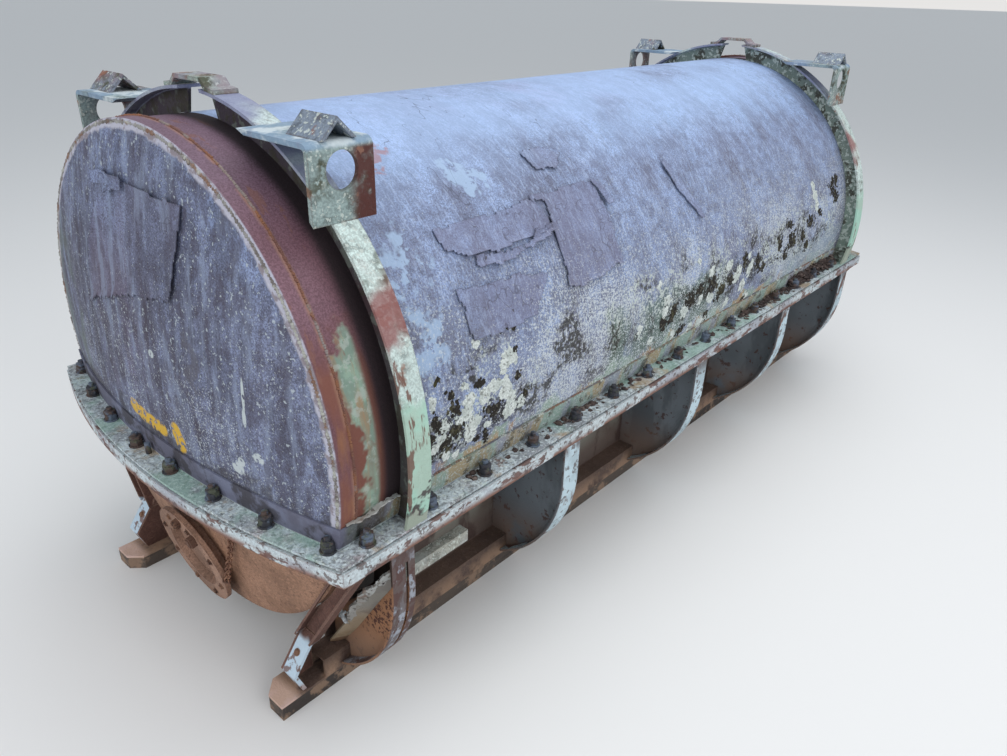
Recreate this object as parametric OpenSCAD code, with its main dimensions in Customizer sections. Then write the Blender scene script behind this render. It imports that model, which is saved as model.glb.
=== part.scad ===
// Horizontal two-part pressurised steel container: a barrel with dished heads, split at a
// bolted flange below its axis, with ring frames, lifting brackets, ribs and skids.
// X runs along the barrel from the near end (-X) to the far end, Y across, Z up.
// The origin is on the level ground under the middle.

/* [Vessel] */
// Outer radius of the barrel
shell_r = 526; // [480:1:560]
// Height of the barrel's lowest line above the ground
ground_gap = 101; // [90:1:120]
// Thickness of the barrel sheet
shell_t = 4; // [2:0.5:8]
// Depth of each dished head beyond its rim
head_depth = 68; // [30:1:90]
// Thickness of the heads and of their skirts
head_t = 4; // [2:0.5:8]
// Length of the skirt that laps over the barrel
skirt_l = 34; // [15:1:70]
// Distance from a flange corner to the rim of an upper head
upper_head_inset = 28; // [20:1:50]
// Distance from a flange corner to the rim of a lower head
lower_head_inset = 42; // [30:1:60]

/* [Split flange] */
// Length of the flange from corner to corner
flange_l = 2480; // [2200:10:3200]
// How far the flange's sides reach out past the barrel
flange_reach = 34; // [28:1:60]
// How far each end of the flange bows outwards
flange_bow = 85; // [60:1:110]
// How far the split lies below the barrel's axis
split_drop = 137; // [100:1:180]
// Thickness of the upper flange
upper_flange_t = 6; // [4:0.5:12]
// Height of the upper flange's upright leg on the barrel
upright_h = 50; // [30:1:70]
// Thickness of the gasket
gasket_t = 5; // [2:0.5:8]
// How far the gasket stays back from the flange's edge
gasket_inset = 4; // [1:0.5:12]
// Thickness of the lower flange
lower_flange_t = 8; // [5:0.5:12]
// How far the lower flange reaches past the upper one
lower_flange_reach = 3; // [0:0.5:6]
// Depth of the turned-down lip below the lower flange
lip_h = 22; // [12:1:32]
// Thickness of the lip
lip_t = 6; // [4:0.5:10]

/* [Ring frames] */
// Distance from a flange corner to the middle of its ring frame
ring_inset = 170; // [140:1:260]
// Height of the ring frames above the barrel
ring_h = 51; // [44:1:60]
// Width of the ring's cap strip
cap_w = 51; // [30:1:80]
// Thickness of the ring's cap strip
cap_t = 6; // [4:0.5:10]
// Thickness of the ring's web
web_t = 6; // [4:0.5:12]
// Half width of the sling gap at the barrel
gap_foot = 59; // [45:1:75]
// Half width of the sling gap at the cap strip
gap_head = 36; // [25:1:44]

/* [Sling straps] */
// Rise of the strap over the ring's cap
strap_rise = 19; // [14:1:30]
// Thickness of the strap
strap_t = 8; // [5:0.5:10]
// Half length of the strap's raised middle
strap_mid = 48; // [45:1:60]
// Half length of the whole strap
strap_half_l = 88; // [82:1:110]

/* [Lifting brackets] */
// Depth of a bracket's top below the ring's crown
bracket_drop = 42; // [36:1:60]
// How far a bracket's outer face stays in from the ring's side
bracket_setback = 165; // [150:1:175]
// Length of a bracket along the barrel
bracket_w = 130; // [100:1:170]
// Thickness of a bracket's plates
bracket_t = 9; // [6:0.5:14]
// Outer radius of the bend between a bracket's plates
bracket_bend_r = 16; // [15:0.5:18]
// Radius of a bracket's lifting hole
hole_r = 32; // [20:0.5:38]
// Depth of the hole's middle below a bracket's top
hole_drop = 47; // [44:1:60]
// Leg of the stacking angle on a bracket
stack_leg = 50; // [35:1:60]
// Thickness of the stacking angle
stack_t = 6; // [4:0.5:8]
// Length of the stacking angle
stack_l = 92; // [60:1:110]

/* [Ribs] */
// Distance from a flange corner to the middle of the first rib
rib_end_inset = 135; // [120:1:150]
// Distance from the middle to the second and fourth ribs
rib_step = 585; // [450:1:700]
// Distance of the third rib from the middle
rib_mid_shift = 20; // [0:1:40]
// Width of a rib's cap strip
rib_cap_w = 56; // [40:1:64]
// Radius of the curved part of a rib
rib_r = 350; // [330:1:360]
// Height above the ground at which a rib's bend would run out level
rib_low = 5; // [0:1:12]
// Thickness of a rib's cap strip
rib_cap_t = 5; // [3:0.5:10]
// Thickness of a rib's web
rib_web_t = 5; // [3:0.5:10]
// Width of the slot between the two bars of the damaged first rib
rib_slot_w = 7; // [5:0.5:10]

/* [Bay angle] */
// Length of the angle beside the first rib
bay_angle_l = 190; // [120:1:260]
// Height of the angle's upright leg
bay_angle_h = 28; // [20:1:40]
// Width of the angle's flat leg
bay_angle_w = 24; // [16:1:30]
// Thickness of the angle
bay_angle_t = 4; // [3:0.5:6]
// Depth of the angle's top below the lip
bay_angle_drop = 70; // [50:1:90]

/* [Skids] */
// How far a skid's upright web stays in from the barrel's side
skid_setback = 206; // [195:1:225]
// Thickness of a skid's plates
skid_t = 6; // [4:0.5:10]
// How far a skid's box reaches out from its upright web
skid_box_w = 50; // [35:1:60]
// Height of a skid's box above its base plate
skid_box_h = 47; // [35:1:55]
// Width of a skid's base plate and of the rub rail under it
rail_w = 78; // [70:1:90]
// Height of the rub rail
rail_h = 34; // [20:1:45]
// How far the toes reach past the flange corners
toe_reach = 48; // [20:1:55]
// Length of the cut corner of a toe
toe_cut = 30; // [10:1:40]

/* [Corner braces] */
// Width of a corner brace
brace_w = 46; // [35:1:50]
// Depth of a corner brace's channel along the barrel
brace_d = 26; // [20:1:30]
// Thickness of a corner brace
brace_t = 5; // [3:0.5:6]
// Distance from a flange corner to the open side of the channel
brace_inset = 32; // [28:1:36]
// Height of a brace's knee above the ground
knee_z = 168; // [155:1:180]
// How far the knee stays in from the flange's side
knee_setback = 206; // [198:1:214]
// How far the knee stays in from the flange's corner
knee_inset = 50; // [44:1:56]
// How far the channel carries on below the knee
knee_lap = 16; // [8:1:24]
// Thickness of the sloping leg below the knee
leg_t = 8; // [5:0.5:10]
// How far the leg's nose reaches past the flange's corner
nose_reach = 10; // [0:1:20]
// Height of the leg's nose above the ground
nose_z = 88; // [70:1:105]
// How far the leg's foot stays in from the flange's corner
foot_inset = 8; // [2:1:16]

/* [Port] */
// Distance of the port's middle above the barrel's lowest line
port_rise = 114; // [106:1:136]
// Outer radius of the port neck
port_r = 98; // [80:1:110]
// Wall of the port neck
port_wall = 8; // [5:0.5:12]
// Height of the port neck above the head
neck_h = 16; // [8:1:24]
// Outer radius of the port cover
cover_r = 126; // [112:1:128]
// Thickness of the cover's rim
cover_t = 11; // [8:0.5:14]
// Radius of the pressed pan in the cover
pan_r = 84; // [70:1:86]
// Depth of the pan
pan_depth = 17; // [8:0.5:20]
// How much narrower the pan's floor is, on each side
pan_taper = 6; // [2:0.5:10]
// Thickness of the pan's floor
pan_t = 4; // [2:0.5:5]
// Radius of a chain link's middle line
link_r = 7; // [5:0.5:9]
// Radius of the chain's wire
link_wire_r = 1.6; // [1:0.1:2]
// Distance of the chain's top from the middle plane
chain_y = 188; // [170:1:200]
// Height of the chain's top above the port's middle
chain_rise = 140; // [122:1:152]

/* [Hidden] */
$fn = 96;
fit_gap = 0.3;
big = 4 * flange_l;
axis_z = ground_gap + shell_r;
flange_z = axis_z - split_drop;
flange_half_w = shell_r + flange_reach;
half_l = flange_l / 2;
ring_r = shell_r + ring_h;
bracket_top_z = axis_z + ring_r - bracket_drop;
bracket_y = ring_r - bracket_setback;
skid_web_y = shell_r - skid_setback;
port_drop = shell_r - port_rise;
chain_drop = port_drop - chain_rise;
skirt_r = shell_r + fit_gap + head_t;
upper_low_z = flange_z - upper_flange_t;
lower_top_z = upper_low_z - gasket_t;
lower_low_z = lower_top_z - lower_flange_t;
lip_low_z = lower_low_z - lip_h;
bow_r = (flange_half_w * flange_half_w + flange_bow * flange_bow) / (2 * flange_bow);
dish_r = (skirt_r * skirt_r + head_depth * head_depth) / (2 * head_depth);
// Middle of the lower near head's dish along the barrel
near_dish_x = dish_r - half_l + lower_head_inset - head_depth;
ring_x = half_l - ring_inset;
rib_end_x = half_l - rib_end_inset;
rib_xs = [-rib_end_x, -rib_step, rib_mid_shift, rib_step, rib_end_x];
steel_grey = "slategray";
pale_green = "darkseagreen";
rib_blue = "lightslategray";
rust = "sienna";

// A solid cylinder along the barrel's axis, centred on x
module bar_x(r, l, x = 0) {
  translate([x - l / 2, 0, axis_z])
    rotate([0, 90, 0])
      cylinder(r = r, h = l);
}

// Everything above a level, or below it
module above(z) {
  translate([-big / 2, -big / 2, z])
    cube(big);
}
module below(z) {
  translate([-big / 2, -big / 2, z - big])
    cube(big);
}

// Turns a profile of radius and height outwards into a near end piece at its rim
module near_turned(inset) {
  translate([-half_l + inset, 0, axis_z])
    rotate([0, -90, 0])
      rotate_extrude()
        children();
}

// Half section of a dish of a given rim radius, filled from a depth behind the rim
module dish_section(rim_r, grow, behind) {
  intersection() {
    translate([0, head_depth - dish_r])
      circle(r = dish_r + grow, $fn = 720);
    translate([0, -behind])
      square([rim_r, behind + head_depth + grow]);
  }
}

// The solid under a dished head's outer face, grown outwards by grow, near end
module near_dish(inset, grow = 0) {
  near_turned(inset)
    dish_section(skirt_r + grow, grow, skirt_l);
}

// One head: the dished plate and its lapping skirt, near end
module near_head(inset) {
  near_turned(inset) {
    difference() {
      dish_section(skirt_r, 0, head_t);
      dish_section(big, -head_t, 2 * head_t);
    }
    translate([shell_r + fit_gap, -skirt_l])
      square([head_t, skirt_l]);
  }
}

// What the vessel fills from outside, with a clearance
module vessel_outer(inset, grow) {
  bar_x(shell_r + grow, flange_l - 2 * inset);
  for (side = [0, 1])
    mirror([side, 0, 0]) {
      near_dish(inset, grow);
    }
}

// The barrel's sheet between the heads
module barrel(inset) {
  l = flange_l - 2 * (inset + head_t + fit_gap);
  difference() {
    bar_x(shell_r, l);
    bar_x(shell_r - shell_t, l + 2);
  }
}

// Plan of the flange: straight sides and bowed ends
module flange_plan(grow = 0) {
  intersection() {
    square([flange_l + 2 * (flange_bow + grow), 2 * (flange_half_w + grow)], center = true);
    translate([half_l + flange_bow - bow_r, 0])
      circle(r = bow_r + grow, $fn = 360);
    translate([bow_r - half_l - flange_bow, 0])
      circle(r = bow_r + grow, $fn = 360);
  }
}

module upper_shell() {
  color(steel_grey)
    intersection() {
      barrel(upper_head_inset);
      above(upper_low_z);
    }
}

module upper_head_near() {
  color(steel_grey)
    intersection() {
      near_head(upper_head_inset);
      above(upper_low_z);
    }
}

module upper_head_far() {
  mirror([1, 0, 0])
    upper_head_near();
}

// Upper flange: a flat leg that is bolted down and an upright leg lapped to the vessel
module upper_flange() {
  color(pale_green)
    difference() {
      union() {
        translate([0, 0, upper_low_z])
          linear_extrude(upper_flange_t)
            flange_plan();
        intersection() {
          vessel_outer(upper_head_inset, fit_gap + head_t);
          above(upper_low_z);
          below(flange_z + upright_h);
        }
      }
      vessel_outer(upper_head_inset, fit_gap);
    }
}

module gasket() {
  color("dimgray")
    difference() {
      translate([0, 0, lower_top_z])
        linear_extrude(gasket_t)
          flange_plan(-gasket_inset);
      bar_x(shell_r - shell_t, flange_l - 2 * lower_head_inset);
      near_dish(lower_head_inset, -head_t);
      mirror([1, 0, 0])
        near_dish(lower_head_inset, -head_t);
    }
}

// Lower flange: a plate whose outer edge is turned down as a lip
module lower_flange() {
  color("paleturquoise")
    difference() {
      union() {
        translate([0, 0, lower_low_z])
          linear_extrude(lower_flange_t)
            flange_plan(lower_flange_reach);
        translate([0, 0, lip_low_z])
          linear_extrude(lip_h + 1)
            difference() {
              flange_plan(lower_flange_reach);
              flange_plan(lower_flange_reach - lip_t);
            }
      }
      vessel_outer(lower_head_inset, fit_gap);
    }
}

module lower_shell() {
  color(pale_green)
    intersection() {
      barrel(lower_head_inset);
      below(lower_top_z);
    }
}

module lower_head_near() {
  color("peru")
    intersection() {
      near_head(lower_head_inset);
      below(lower_top_z);
    }
}

module lower_head_far() {
  mirror([1, 0, 0])
    lower_head_near();
}

// Ring frame: a web on edge round the barrel under a wide cap strip, open at the crown
module ring(x) {
  web_low_r = shell_r + fit_gap;
  web_low_z = flange_z + upright_h + fit_gap;
  color(pale_green)
    difference() {
      union() {
        intersection() {
          difference() {
            bar_x(ring_r, cap_w, x);
            bar_x(ring_r - cap_t, cap_w + 2, x);
          }
          above(flange_z);
        }
        intersection() {
          difference() {
            bar_x(ring_r - cap_t / 2, web_t, x);
            bar_x(web_low_r, web_t + 2, x);
            intersection() {
              bar_x(skirt_r + fit_gap, web_t + 2, x);
              below(web_low_z);
            }
          }
          above(flange_z);
        }
      }
      translate([x - cap_w, 0, axis_z])
        rotate([90, 0, 90])
          linear_extrude(2 * cap_w)
            polygon([
              [-gap_foot, shell_r - 20], [gap_foot, shell_r - 20],
              [gap_head, ring_r + 5], [-gap_head, ring_r + 5]
            ]);
    }
}

module ring_near() {
  ring(-ring_x);
}

module ring_far() {
  ring(ring_x);
}

// Joggled strap that bridges the sling gap
module strap(x) {
  foot_in = strap_mid + strap_rise - strap_t + 4;
  top_z = ring_r + strap_rise;
  function cap_z(y) = sqrt(ring_r * ring_r - y * y) + fit_gap;
  right_half = [
    [strap_mid, top_z],
    [foot_in, cap_z(foot_in) + strap_t],
    [strap_half_l, cap_z(strap_half_l) + strap_t],
    [strap_half_l, cap_z(strap_half_l)],
    [foot_in - 4, cap_z(foot_in - 4)],
    [strap_mid - 3, top_z - strap_t]
  ];
  left_half = [for (i = [len(right_half) - 1 : -1 : 0]) [-right_half[i].x, right_half[i].y]];
  color(pale_green)
    translate([x - cap_w / 2, 0, axis_z])
      rotate([90, 0, 90])
        linear_extrude(cap_w)
          polygon(concat(right_half, left_half));
}

module strap_near() {
  strap(-ring_x);
}

module strap_far() {
  strap(ring_x);
}

// Section of a bracket: a flat top and an upright plate with a bend between them
module bracket_section() {
  bend = bracket_bend_r;
  translate([-bracket_y + bend, bracket_top_z - bracket_t])
    square([bracket_y, bracket_t]);
  translate([-bracket_y, axis_z])
    square([bracket_t, bracket_top_z - bend - axis_z]);
  translate([-bracket_y + bend, bracket_top_z - bend])
    intersection() {
      difference() {
        circle(r = bend);
        circle(r = bend - bracket_t);
      }
      translate([-bend - 1, 0])
        square(bend + 1);
    }
}

// Lifting bracket on a shoulder, fitted over the ring's cap strip, with its hole
module bracket(x, side) {
  color(pale_green)
    mirror([0, side, 0])
      difference() {
        translate([x - bracket_w / 2, 0, 0])
          rotate([90, 0, 90])
            linear_extrude(bracket_w)
              bracket_section();
        bar_x(ring_r + fit_gap, 2 * bracket_w, x);
        translate([x - bracket_w, -1, 0])
          cube([2 * bracket_w, bracket_y + bracket_bend_r, big]);
        translate([x, 0, bracket_top_z - hole_drop])
          rotate([90, 0, 0])
            cylinder(r = hole_r, h = bracket_y + 1);
      }
}

module bracket_near_right() {
  bracket(-ring_x, 0);
}

module bracket_near_left() {
  bracket(-ring_x, 1);
}

module bracket_far_right() {
  bracket(ring_x, 0);
}

module bracket_far_left() {
  bracket(ring_x, 1);
}

// Stacking angle: a length of angle laid ridge up on a bracket
module stack_angle(x, side) {
  half = stack_leg / sqrt(2);
  inner = stack_t * sqrt(2);
  color(pale_green)
    mirror([0, side, 0])
      translate([x, stack_l + bracket_bend_r / 4 - bracket_y, bracket_top_z])
        rotate([90, 0, 0])
          linear_extrude(stack_l)
            polygon([
              [-half, 0], [0, half], [half, 0],
              [half - inner, 0], [0, half - inner], [inner - half, 0]
            ]);
}

module stack_angle_near_right() {
  stack_angle(-ring_x, 0);
}

module stack_angle_near_left() {
  stack_angle(-ring_x, 1);
}

module stack_angle_far_right() {
  stack_angle(ring_x, 0);
}

module stack_angle_far_left() {
  stack_angle(ring_x, 1);
}

// Outline of a rib from the flange to the skid: straight, then a quarter bend
module rib_outline(inset, top_z) {
  bend_y = flange_half_w - rib_r;
  bend_z = rib_low + rib_r;
  translate([0, bend_z])
    square([flange_half_w - inset, top_z - bend_z]);
  intersection() {
    translate([bend_y, bend_z])
      circle(r = rib_r - inset);
    translate([0, rib_low])
      square([flange_half_w, rib_r + 1]);
  }
}

// One T rib: an upright web in the bay under a cap strip that follows its outline
module rib(x, side) {
  box_top = rail_h + skid_t + skid_box_h;
  web_top_inset = lip_t - lower_flange_reach + fit_gap;
  mirror([0, 1 - side, 0])
    difference() {
      translate([x, 0, 0])
        rotate([90, 0, 90])
          union() {
            translate([0, 0, -rib_cap_w / 2])
              linear_extrude(rib_cap_w)
                difference() {
                  rib_outline(0, lip_low_z);
                  rib_outline(rib_cap_t, lip_low_z + 1);
                }
            translate([0, 0, -rib_web_t / 2])
              linear_extrude(rib_web_t)
                union() {
                  rib_outline(rib_cap_t / 2, lip_low_z);
                  rib_outline(web_top_inset, lower_low_z);
                }
          }
      vessel_outer(lower_head_inset, fit_gap);
      translate([x - rib_cap_w, -1, 0])
        cube([2 * rib_cap_w, skid_web_y + 1, flange_z]);
      translate([x - rib_cap_w, 0, 0])
        cube([2 * rib_cap_w, skid_web_y + skid_box_w, box_top]);
    }
}

// What is torn out of the first right rib, seen along the barrel: the web's edge by the barrel
module torn_edge() {
  y_out = shell_r - 57;
  z_out = axis_z - 306;
  polygon([
    [skid_web_y - 20, ground_gap + 30], [skid_web_y + 13, ground_gap + 40],
    [skid_web_y + 24, ground_gap + 87], [skid_web_y + 69, ground_gap + 130],
    [skid_web_y + 86, ground_gap + 156], [skid_web_y + 117, ground_gap + 184],
    [y_out, z_out], [y_out + 8, z_out + 62], [y_out - 2, lower_low_z - 24],
    [skid_web_y - 20, lower_low_z - 24]
  ]);
}

// First right rib, damaged: its cap has parted into two bars and its web is torn off the barrel
module rib_right_1() {
  x = rib_xs[0];
  slot_low_z = rib_low + rib_r / 3;
  color(rib_blue)
    difference() {
      rib(x, 0);
      mirror([0, 1, 0])
        translate([x - rib_web_t, 0, 0])
          rotate([90, 0, 90])
            linear_extrude(2 * rib_web_t)
              torn_edge();
      translate([x + rib_web_t / 2 + 2, -flange_half_w - 1, slot_low_z])
        cube([rib_slot_w, flange_half_w - skid_web_y, lip_low_z - 30 - slot_low_z]);
    }
}

module rib_right_2() {
  color(rib_blue)
    rib(rib_xs[1], 0);
}

module rib_right_3() {
  color(rib_blue)
    rib(rib_xs[2], 0);
}

module rib_right_4() {
  color(rib_blue)
    rib(rib_xs[3], 0);
}

module rib_right_5() {
  color(rib_blue)
    rib(rib_xs[4], 0);
}

module rib_left_1() {
  color(rib_blue)
    rib(rib_xs[0], 1);
}

module rib_left_2() {
  color(rib_blue)
    rib(rib_xs[1], 1);
}

module rib_left_3() {
  color(rib_blue)
    rib(rib_xs[2], 1);
}

module rib_left_4() {
  color(rib_blue)
    rib(rib_xs[3], 1);
}

module rib_left_5() {
  color(rib_blue)
    rib(rib_xs[4], 1);
}

// Short angle beside the first right rib, welded to the rib's web, with a closed end
module bay_angle() {
  top_z = lip_low_z - bay_angle_drop;
  out_y = flange_half_w - rib_cap_t - fit_gap - 14;
  low_z = top_z - bay_angle_h;
  color(pale_green)
    translate([rib_xs[0] + rib_web_t / 2, -out_y, 0])
      union() {
        translate([0, 0, low_z])
          cube([bay_angle_l, bay_angle_t, bay_angle_h]);
        translate([0, 0, top_z - bay_angle_t])
          cube([bay_angle_l, bay_angle_w, bay_angle_t]);
        translate([bay_angle_l - bay_angle_t, 0, low_z])
          cube([bay_angle_t, bay_angle_w, bay_angle_h]);
      }
}

// Plan of a skid's base plate and rub rail, with the inner corner of each toe cut off
module skid_plan() {
  half = half_l + toe_reach;
  out_y = skid_web_y + skid_box_w;
  in_y = out_y - rail_w;
  polygon([
    [-half, out_y], [half, out_y], [half, in_y + toe_cut], [half - toe_cut, in_y],
    [toe_cut - half, in_y], [-half, in_y + toe_cut]
  ]);
}

// Skid: an upright web from the barrel down, a box along its foot and a base plate
module skid(side) {
  box_l = flange_l - 2 * (brace_inset + brace_d + skid_t);
  web_l = 2 * (rib_end_x + rib_cap_w / 2);
  base_z = rail_h;
  box_z = rail_h + skid_t;
  color(rust)
    mirror([0, 1 - side, 0])
      difference() {
        union() {
          translate([0, 0, base_z])
            linear_extrude(skid_t)
              skid_plan();
          translate([-box_l / 2, skid_web_y + skid_box_w - skid_t, base_z])
            cube([box_l, skid_t, skid_box_h + skid_t]);
          translate([-box_l / 2, skid_web_y - skid_t, box_z + skid_box_h - skid_t])
            cube([box_l, skid_box_w + skid_t, skid_t]);
          translate([-box_l / 2, skid_web_y - skid_t, base_z])
            cube([box_l, skid_t, skid_box_h + skid_t]);
          translate([-web_l / 2, skid_web_y - skid_t, box_z])
            cube([web_l, skid_t, flange_z - box_z - upper_flange_t]);
        }
        vessel_outer(lower_head_inset, fit_gap);
        translate([-big / 2, -big / 2, axis_z - shell_r / 2])
          cube(big);
      }
}

module skid_right() {
  skid(0);
}

module skid_left() {
  skid(1);
}

module rub_rail(side) {
  color("saddlebrown")
    mirror([0, 1 - side, 0])
      linear_extrude(rail_h)
        skid_plan();
}

module rub_rail_right() {
  rub_rail(0);
}

module rub_rail_left() {
  rub_rail(1);
}

// A bar that leans from a foot up to a head, with children as its section across X and Y
module leaning(foot, head) {
  rise = head.y - foot.y;
  translate([0, foot.x, foot.y])
    rotate([-atan2(head.x - foot.x, rise), 0, 0])
      translate([0, 0, -brace_w])
        linear_extrude(norm(head - foot) + 2 * brace_w)
          children();
}

// Side view of a corner brace's leg: a plate that slopes out to a nose and back to a foot
module leg_side() {
  run = 1.2 * leg_t;
  knee = [half_l - knee_inset, knee_z];
  nose = [half_l + nose_reach, nose_z];
  foot = [half_l - foot_inset, rail_h + skid_t];
  polygon([
    knee, nose, foot,
    foot - [run, 0], nose - [run, 0], knee - [run, 0]
  ]);
}

// Side view of the web that closes the skid's end behind the leg
module leg_web_side() {
  back_x = half_l - brace_inset - brace_d - skid_t + fit_gap;
  polygon([
    [back_x, rail_h + skid_t], [half_l - foot_inset - leg_t, rail_h + skid_t],
    [half_l + nose_reach - leg_t, nose_z], [half_l - knee_inset - leg_t / 2, knee_z],
    [back_x, knee_z]
  ]);
}

// Corner brace: an open channel from the flange to a knee, then a sloping leg that ends the skid
module brace(end, side) {
  front_x = half_l - brace_inset;
  knee = [flange_half_w - knee_setback, knee_z];
  head = [flange_half_w - lip_t - brace_w / 2, lip_low_z];
  color(rust)
    mirror([1 - end, 0, 0])
      mirror([0, 1 - side, 0]) {
        intersection() {
          difference() {
            leaning(knee, head)
              difference() {
                translate([front_x - brace_d, -brace_w / 2])
                  square([brace_d, brace_w]);
                translate([front_x - brace_d + brace_t, brace_t - brace_w / 2])
                  square([brace_d, brace_w - 2 * brace_t]);
              }
            vessel_outer(lower_head_inset, fit_gap + brace_t / 2);
          }
          union() {
            translate([0, 0, knee_z - knee_lap])
              cube([big, big, lip_low_z - knee_z + knee_lap]);
            linear_extrude(lower_low_z)
              flange_plan(lower_flange_reach - lip_t - fit_gap);
          }
          translate([0, 0, knee_z - knee_lap])
            cube([big, big, lower_low_z - knee_z + knee_lap]);
        }
        translate([0, skid_web_y + brace_w, 0])
          rotate([90, 0, 0])
            linear_extrude(brace_w)
              leg_side();
        translate([0, skid_web_y + brace_t, 0])
          rotate([90, 0, 0])
            linear_extrude(brace_t)
              leg_web_side();
      }
}

module brace_near_right() {
  brace(0, 0);
}

module brace_near_left() {
  brace(0, 1);
}

module brace_far_right() {
  brace(1, 0);
}

module brace_far_left() {
  brace(1, 1);
}

// Puts a piece on the lower near head, square to the dish, with its height from the dish's centre
module on_port() {
  translate([near_dish_x, 0, axis_z])
    rotate([0, -90 - asin(port_drop / dish_r), 0])
      children();
}

// Port neck: a short tube that stands on the dish
module port_neck() {
  color("peru")
    on_port()
      rotate_extrude()
        difference() {
          translate([port_r - port_wall, dish_r - port_wall])
            square([port_wall, port_wall + neck_h]);
          circle(r = dish_r + fit_gap, $fn = 720);
        }
}

// Round port cover: a flat rim round a pressed pan with a sloping wall
module port_cover() {
  seat = dish_r + neck_h + fit_gap;
  face = seat + cover_t;
  floor_r = pan_r - pan_taper;
  color("peru")
    on_port()
      rotate_extrude()
        polygon([
          [0, face - pan_depth], [floor_r, face - pan_depth], [pan_r, face],
          [cover_r, face], [cover_r, seat], [pan_r, seat],
          [floor_r, face - pan_depth - pan_t], [0, face - pan_depth - pan_t]
        ]);
}

// Retaining chain from the lower near head down to the cover's edge
module cover_chain() {
  pitch = 2 * (link_r - link_wire_r) - fit_gap;
  reach = link_r + link_wire_r + fit_gap;
  tilt = asin(port_drop / dish_r);
  out = dish_r + neck_h + cover_t / 2;
  foot = [-out * cos(tilt), -cover_r - reach, -out * sin(tilt)];
  top_x = -sqrt(pow(dish_r, 2) - pow(chain_y, 2) - pow(chain_drop, 2));
  top = [top_x, -chain_y, -chain_drop] * (dish_r + reach) / dish_r;
  pairs = ceil((norm(top - foot) / pitch - 1) / 2);
  count = 2 * pairs + 1;
  step = (foot - top) / count;
  color("dimgray")
    translate([near_dish_x, 0, axis_z])
      for (i = [0 : count])
        translate(top + i * step)
          rotate([-atan2(step.y, step.z), 0, 0])
            rotate([90 * (1 - i % 2), 90 * (i % 2), 0])
              rotate_extrude()
                translate([link_r, 0])
                  circle(r = link_wire_r);
}

upper_shell();
upper_head_near();
upper_head_far();
upper_flange();
gasket();
lower_flange();
lower_shell();
lower_head_near();
lower_head_far();
ring_near();
ring_far();
strap_near();
strap_far();
bracket_near_right();
bracket_near_left();
bracket_far_right();
bracket_far_left();
stack_angle_near_right();
stack_angle_near_left();
stack_angle_far_right();
stack_angle_far_left();
rib_right_1();
rib_right_2();
rib_right_3();
rib_right_4();
rib_right_5();
rib_left_1();
rib_left_2();
rib_left_3();
rib_left_4();
rib_left_5();
bay_angle();
skid_right();
skid_left();
rub_rail_right();
rub_rail_left();
brace_near_right();
brace_near_left();
brace_far_right();
brace_far_left();
port_neck();
port_cover();
cover_chain();
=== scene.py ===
# %% [markdown]
# # A weathered two-part steel container on skids
# The object is a long steel drum that splits at a bolted flange: an upper half with dished
# heads, a lower half on curved ribs and two skids, and four lifting brackets on two ring
# frames. All of that comes as solids from the CAD model. What Blender adds is what decades
# outdoors added to it: chalky paint, rust, lichen, moss, peeled film, dirt, nuts and welds.

# %% Load the frame
import math
import random

import bpy
from mathutils import Matrix, Vector, noise


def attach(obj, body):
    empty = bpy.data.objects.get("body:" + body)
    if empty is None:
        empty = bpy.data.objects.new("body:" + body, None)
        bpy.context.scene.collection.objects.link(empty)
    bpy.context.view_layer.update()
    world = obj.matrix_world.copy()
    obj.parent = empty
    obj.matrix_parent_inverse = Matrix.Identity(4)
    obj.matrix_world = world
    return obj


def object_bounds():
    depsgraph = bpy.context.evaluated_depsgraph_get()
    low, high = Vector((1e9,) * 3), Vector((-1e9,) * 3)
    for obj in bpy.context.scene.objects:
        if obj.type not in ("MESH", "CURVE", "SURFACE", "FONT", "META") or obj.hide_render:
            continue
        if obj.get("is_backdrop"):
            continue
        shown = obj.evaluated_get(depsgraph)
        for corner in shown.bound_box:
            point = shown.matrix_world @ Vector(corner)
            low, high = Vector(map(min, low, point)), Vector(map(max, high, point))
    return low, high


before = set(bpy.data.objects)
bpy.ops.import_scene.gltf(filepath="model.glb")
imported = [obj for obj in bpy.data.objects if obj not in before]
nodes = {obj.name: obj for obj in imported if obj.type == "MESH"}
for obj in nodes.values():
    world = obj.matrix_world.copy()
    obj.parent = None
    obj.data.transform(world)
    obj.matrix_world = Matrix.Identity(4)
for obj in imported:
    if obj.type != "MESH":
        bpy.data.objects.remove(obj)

box_low, box_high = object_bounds()
MM = 0.001
random.seed(7)
print(len(nodes), "solids, box", [round(v, 3) for v in (*box_low, *box_high)])

# %% [markdown]
# The camera stands where the photographer stood: a little above the near right corner,
# looking down at 27 degrees, with a slight roll. Its place was worked out from known points
# of the object, so it is built from three directions, not from a look-at constraint.

# %% Camera
CAMERA_PLACE = Vector((-1.8380, -1.4298, 1.3895))
YAW, PITCH, ROLL = (math.radians(v) for v in (40.94, -27.13, 1.568))
LENS_MM, SENSOR_MM, FARTHEST = 27.69, 36, 400


def turned_camera():
    """The camera's matrix, from its heading, tilt and roll."""
    forward, level_right = Vector((math.cos(YAW), math.sin(YAW), 0)), Vector((math.sin(YAW), -math.cos(YAW), 0))
    ahead = math.cos(PITCH) * forward + math.sin(PITCH) * Vector((0, 0, 1))
    level_up = level_right.cross(ahead)
    right = math.cos(ROLL) * level_right + math.sin(ROLL) * level_up
    up = math.cos(ROLL) * level_up - math.sin(ROLL) * level_right
    matrix = Matrix((right, up, -ahead)).transposed().to_4x4()
    matrix.translation = CAMERA_PLACE
    return matrix


bpy.ops.object.camera_add()
camera = bpy.context.object
camera.name = "camera"
camera.matrix_world = turned_camera()
camera.data.lens = LENS_MM
camera.data.sensor_width = SENSOR_MM
camera.data.clip_end = FARTHEST
bpy.context.scene.camera = camera
bpy.context.scene.view_settings.view_transform = "Standard"
print("camera at", [round(v, 2) for v in camera.location], "lens", LENS_MM, "mm")

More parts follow.
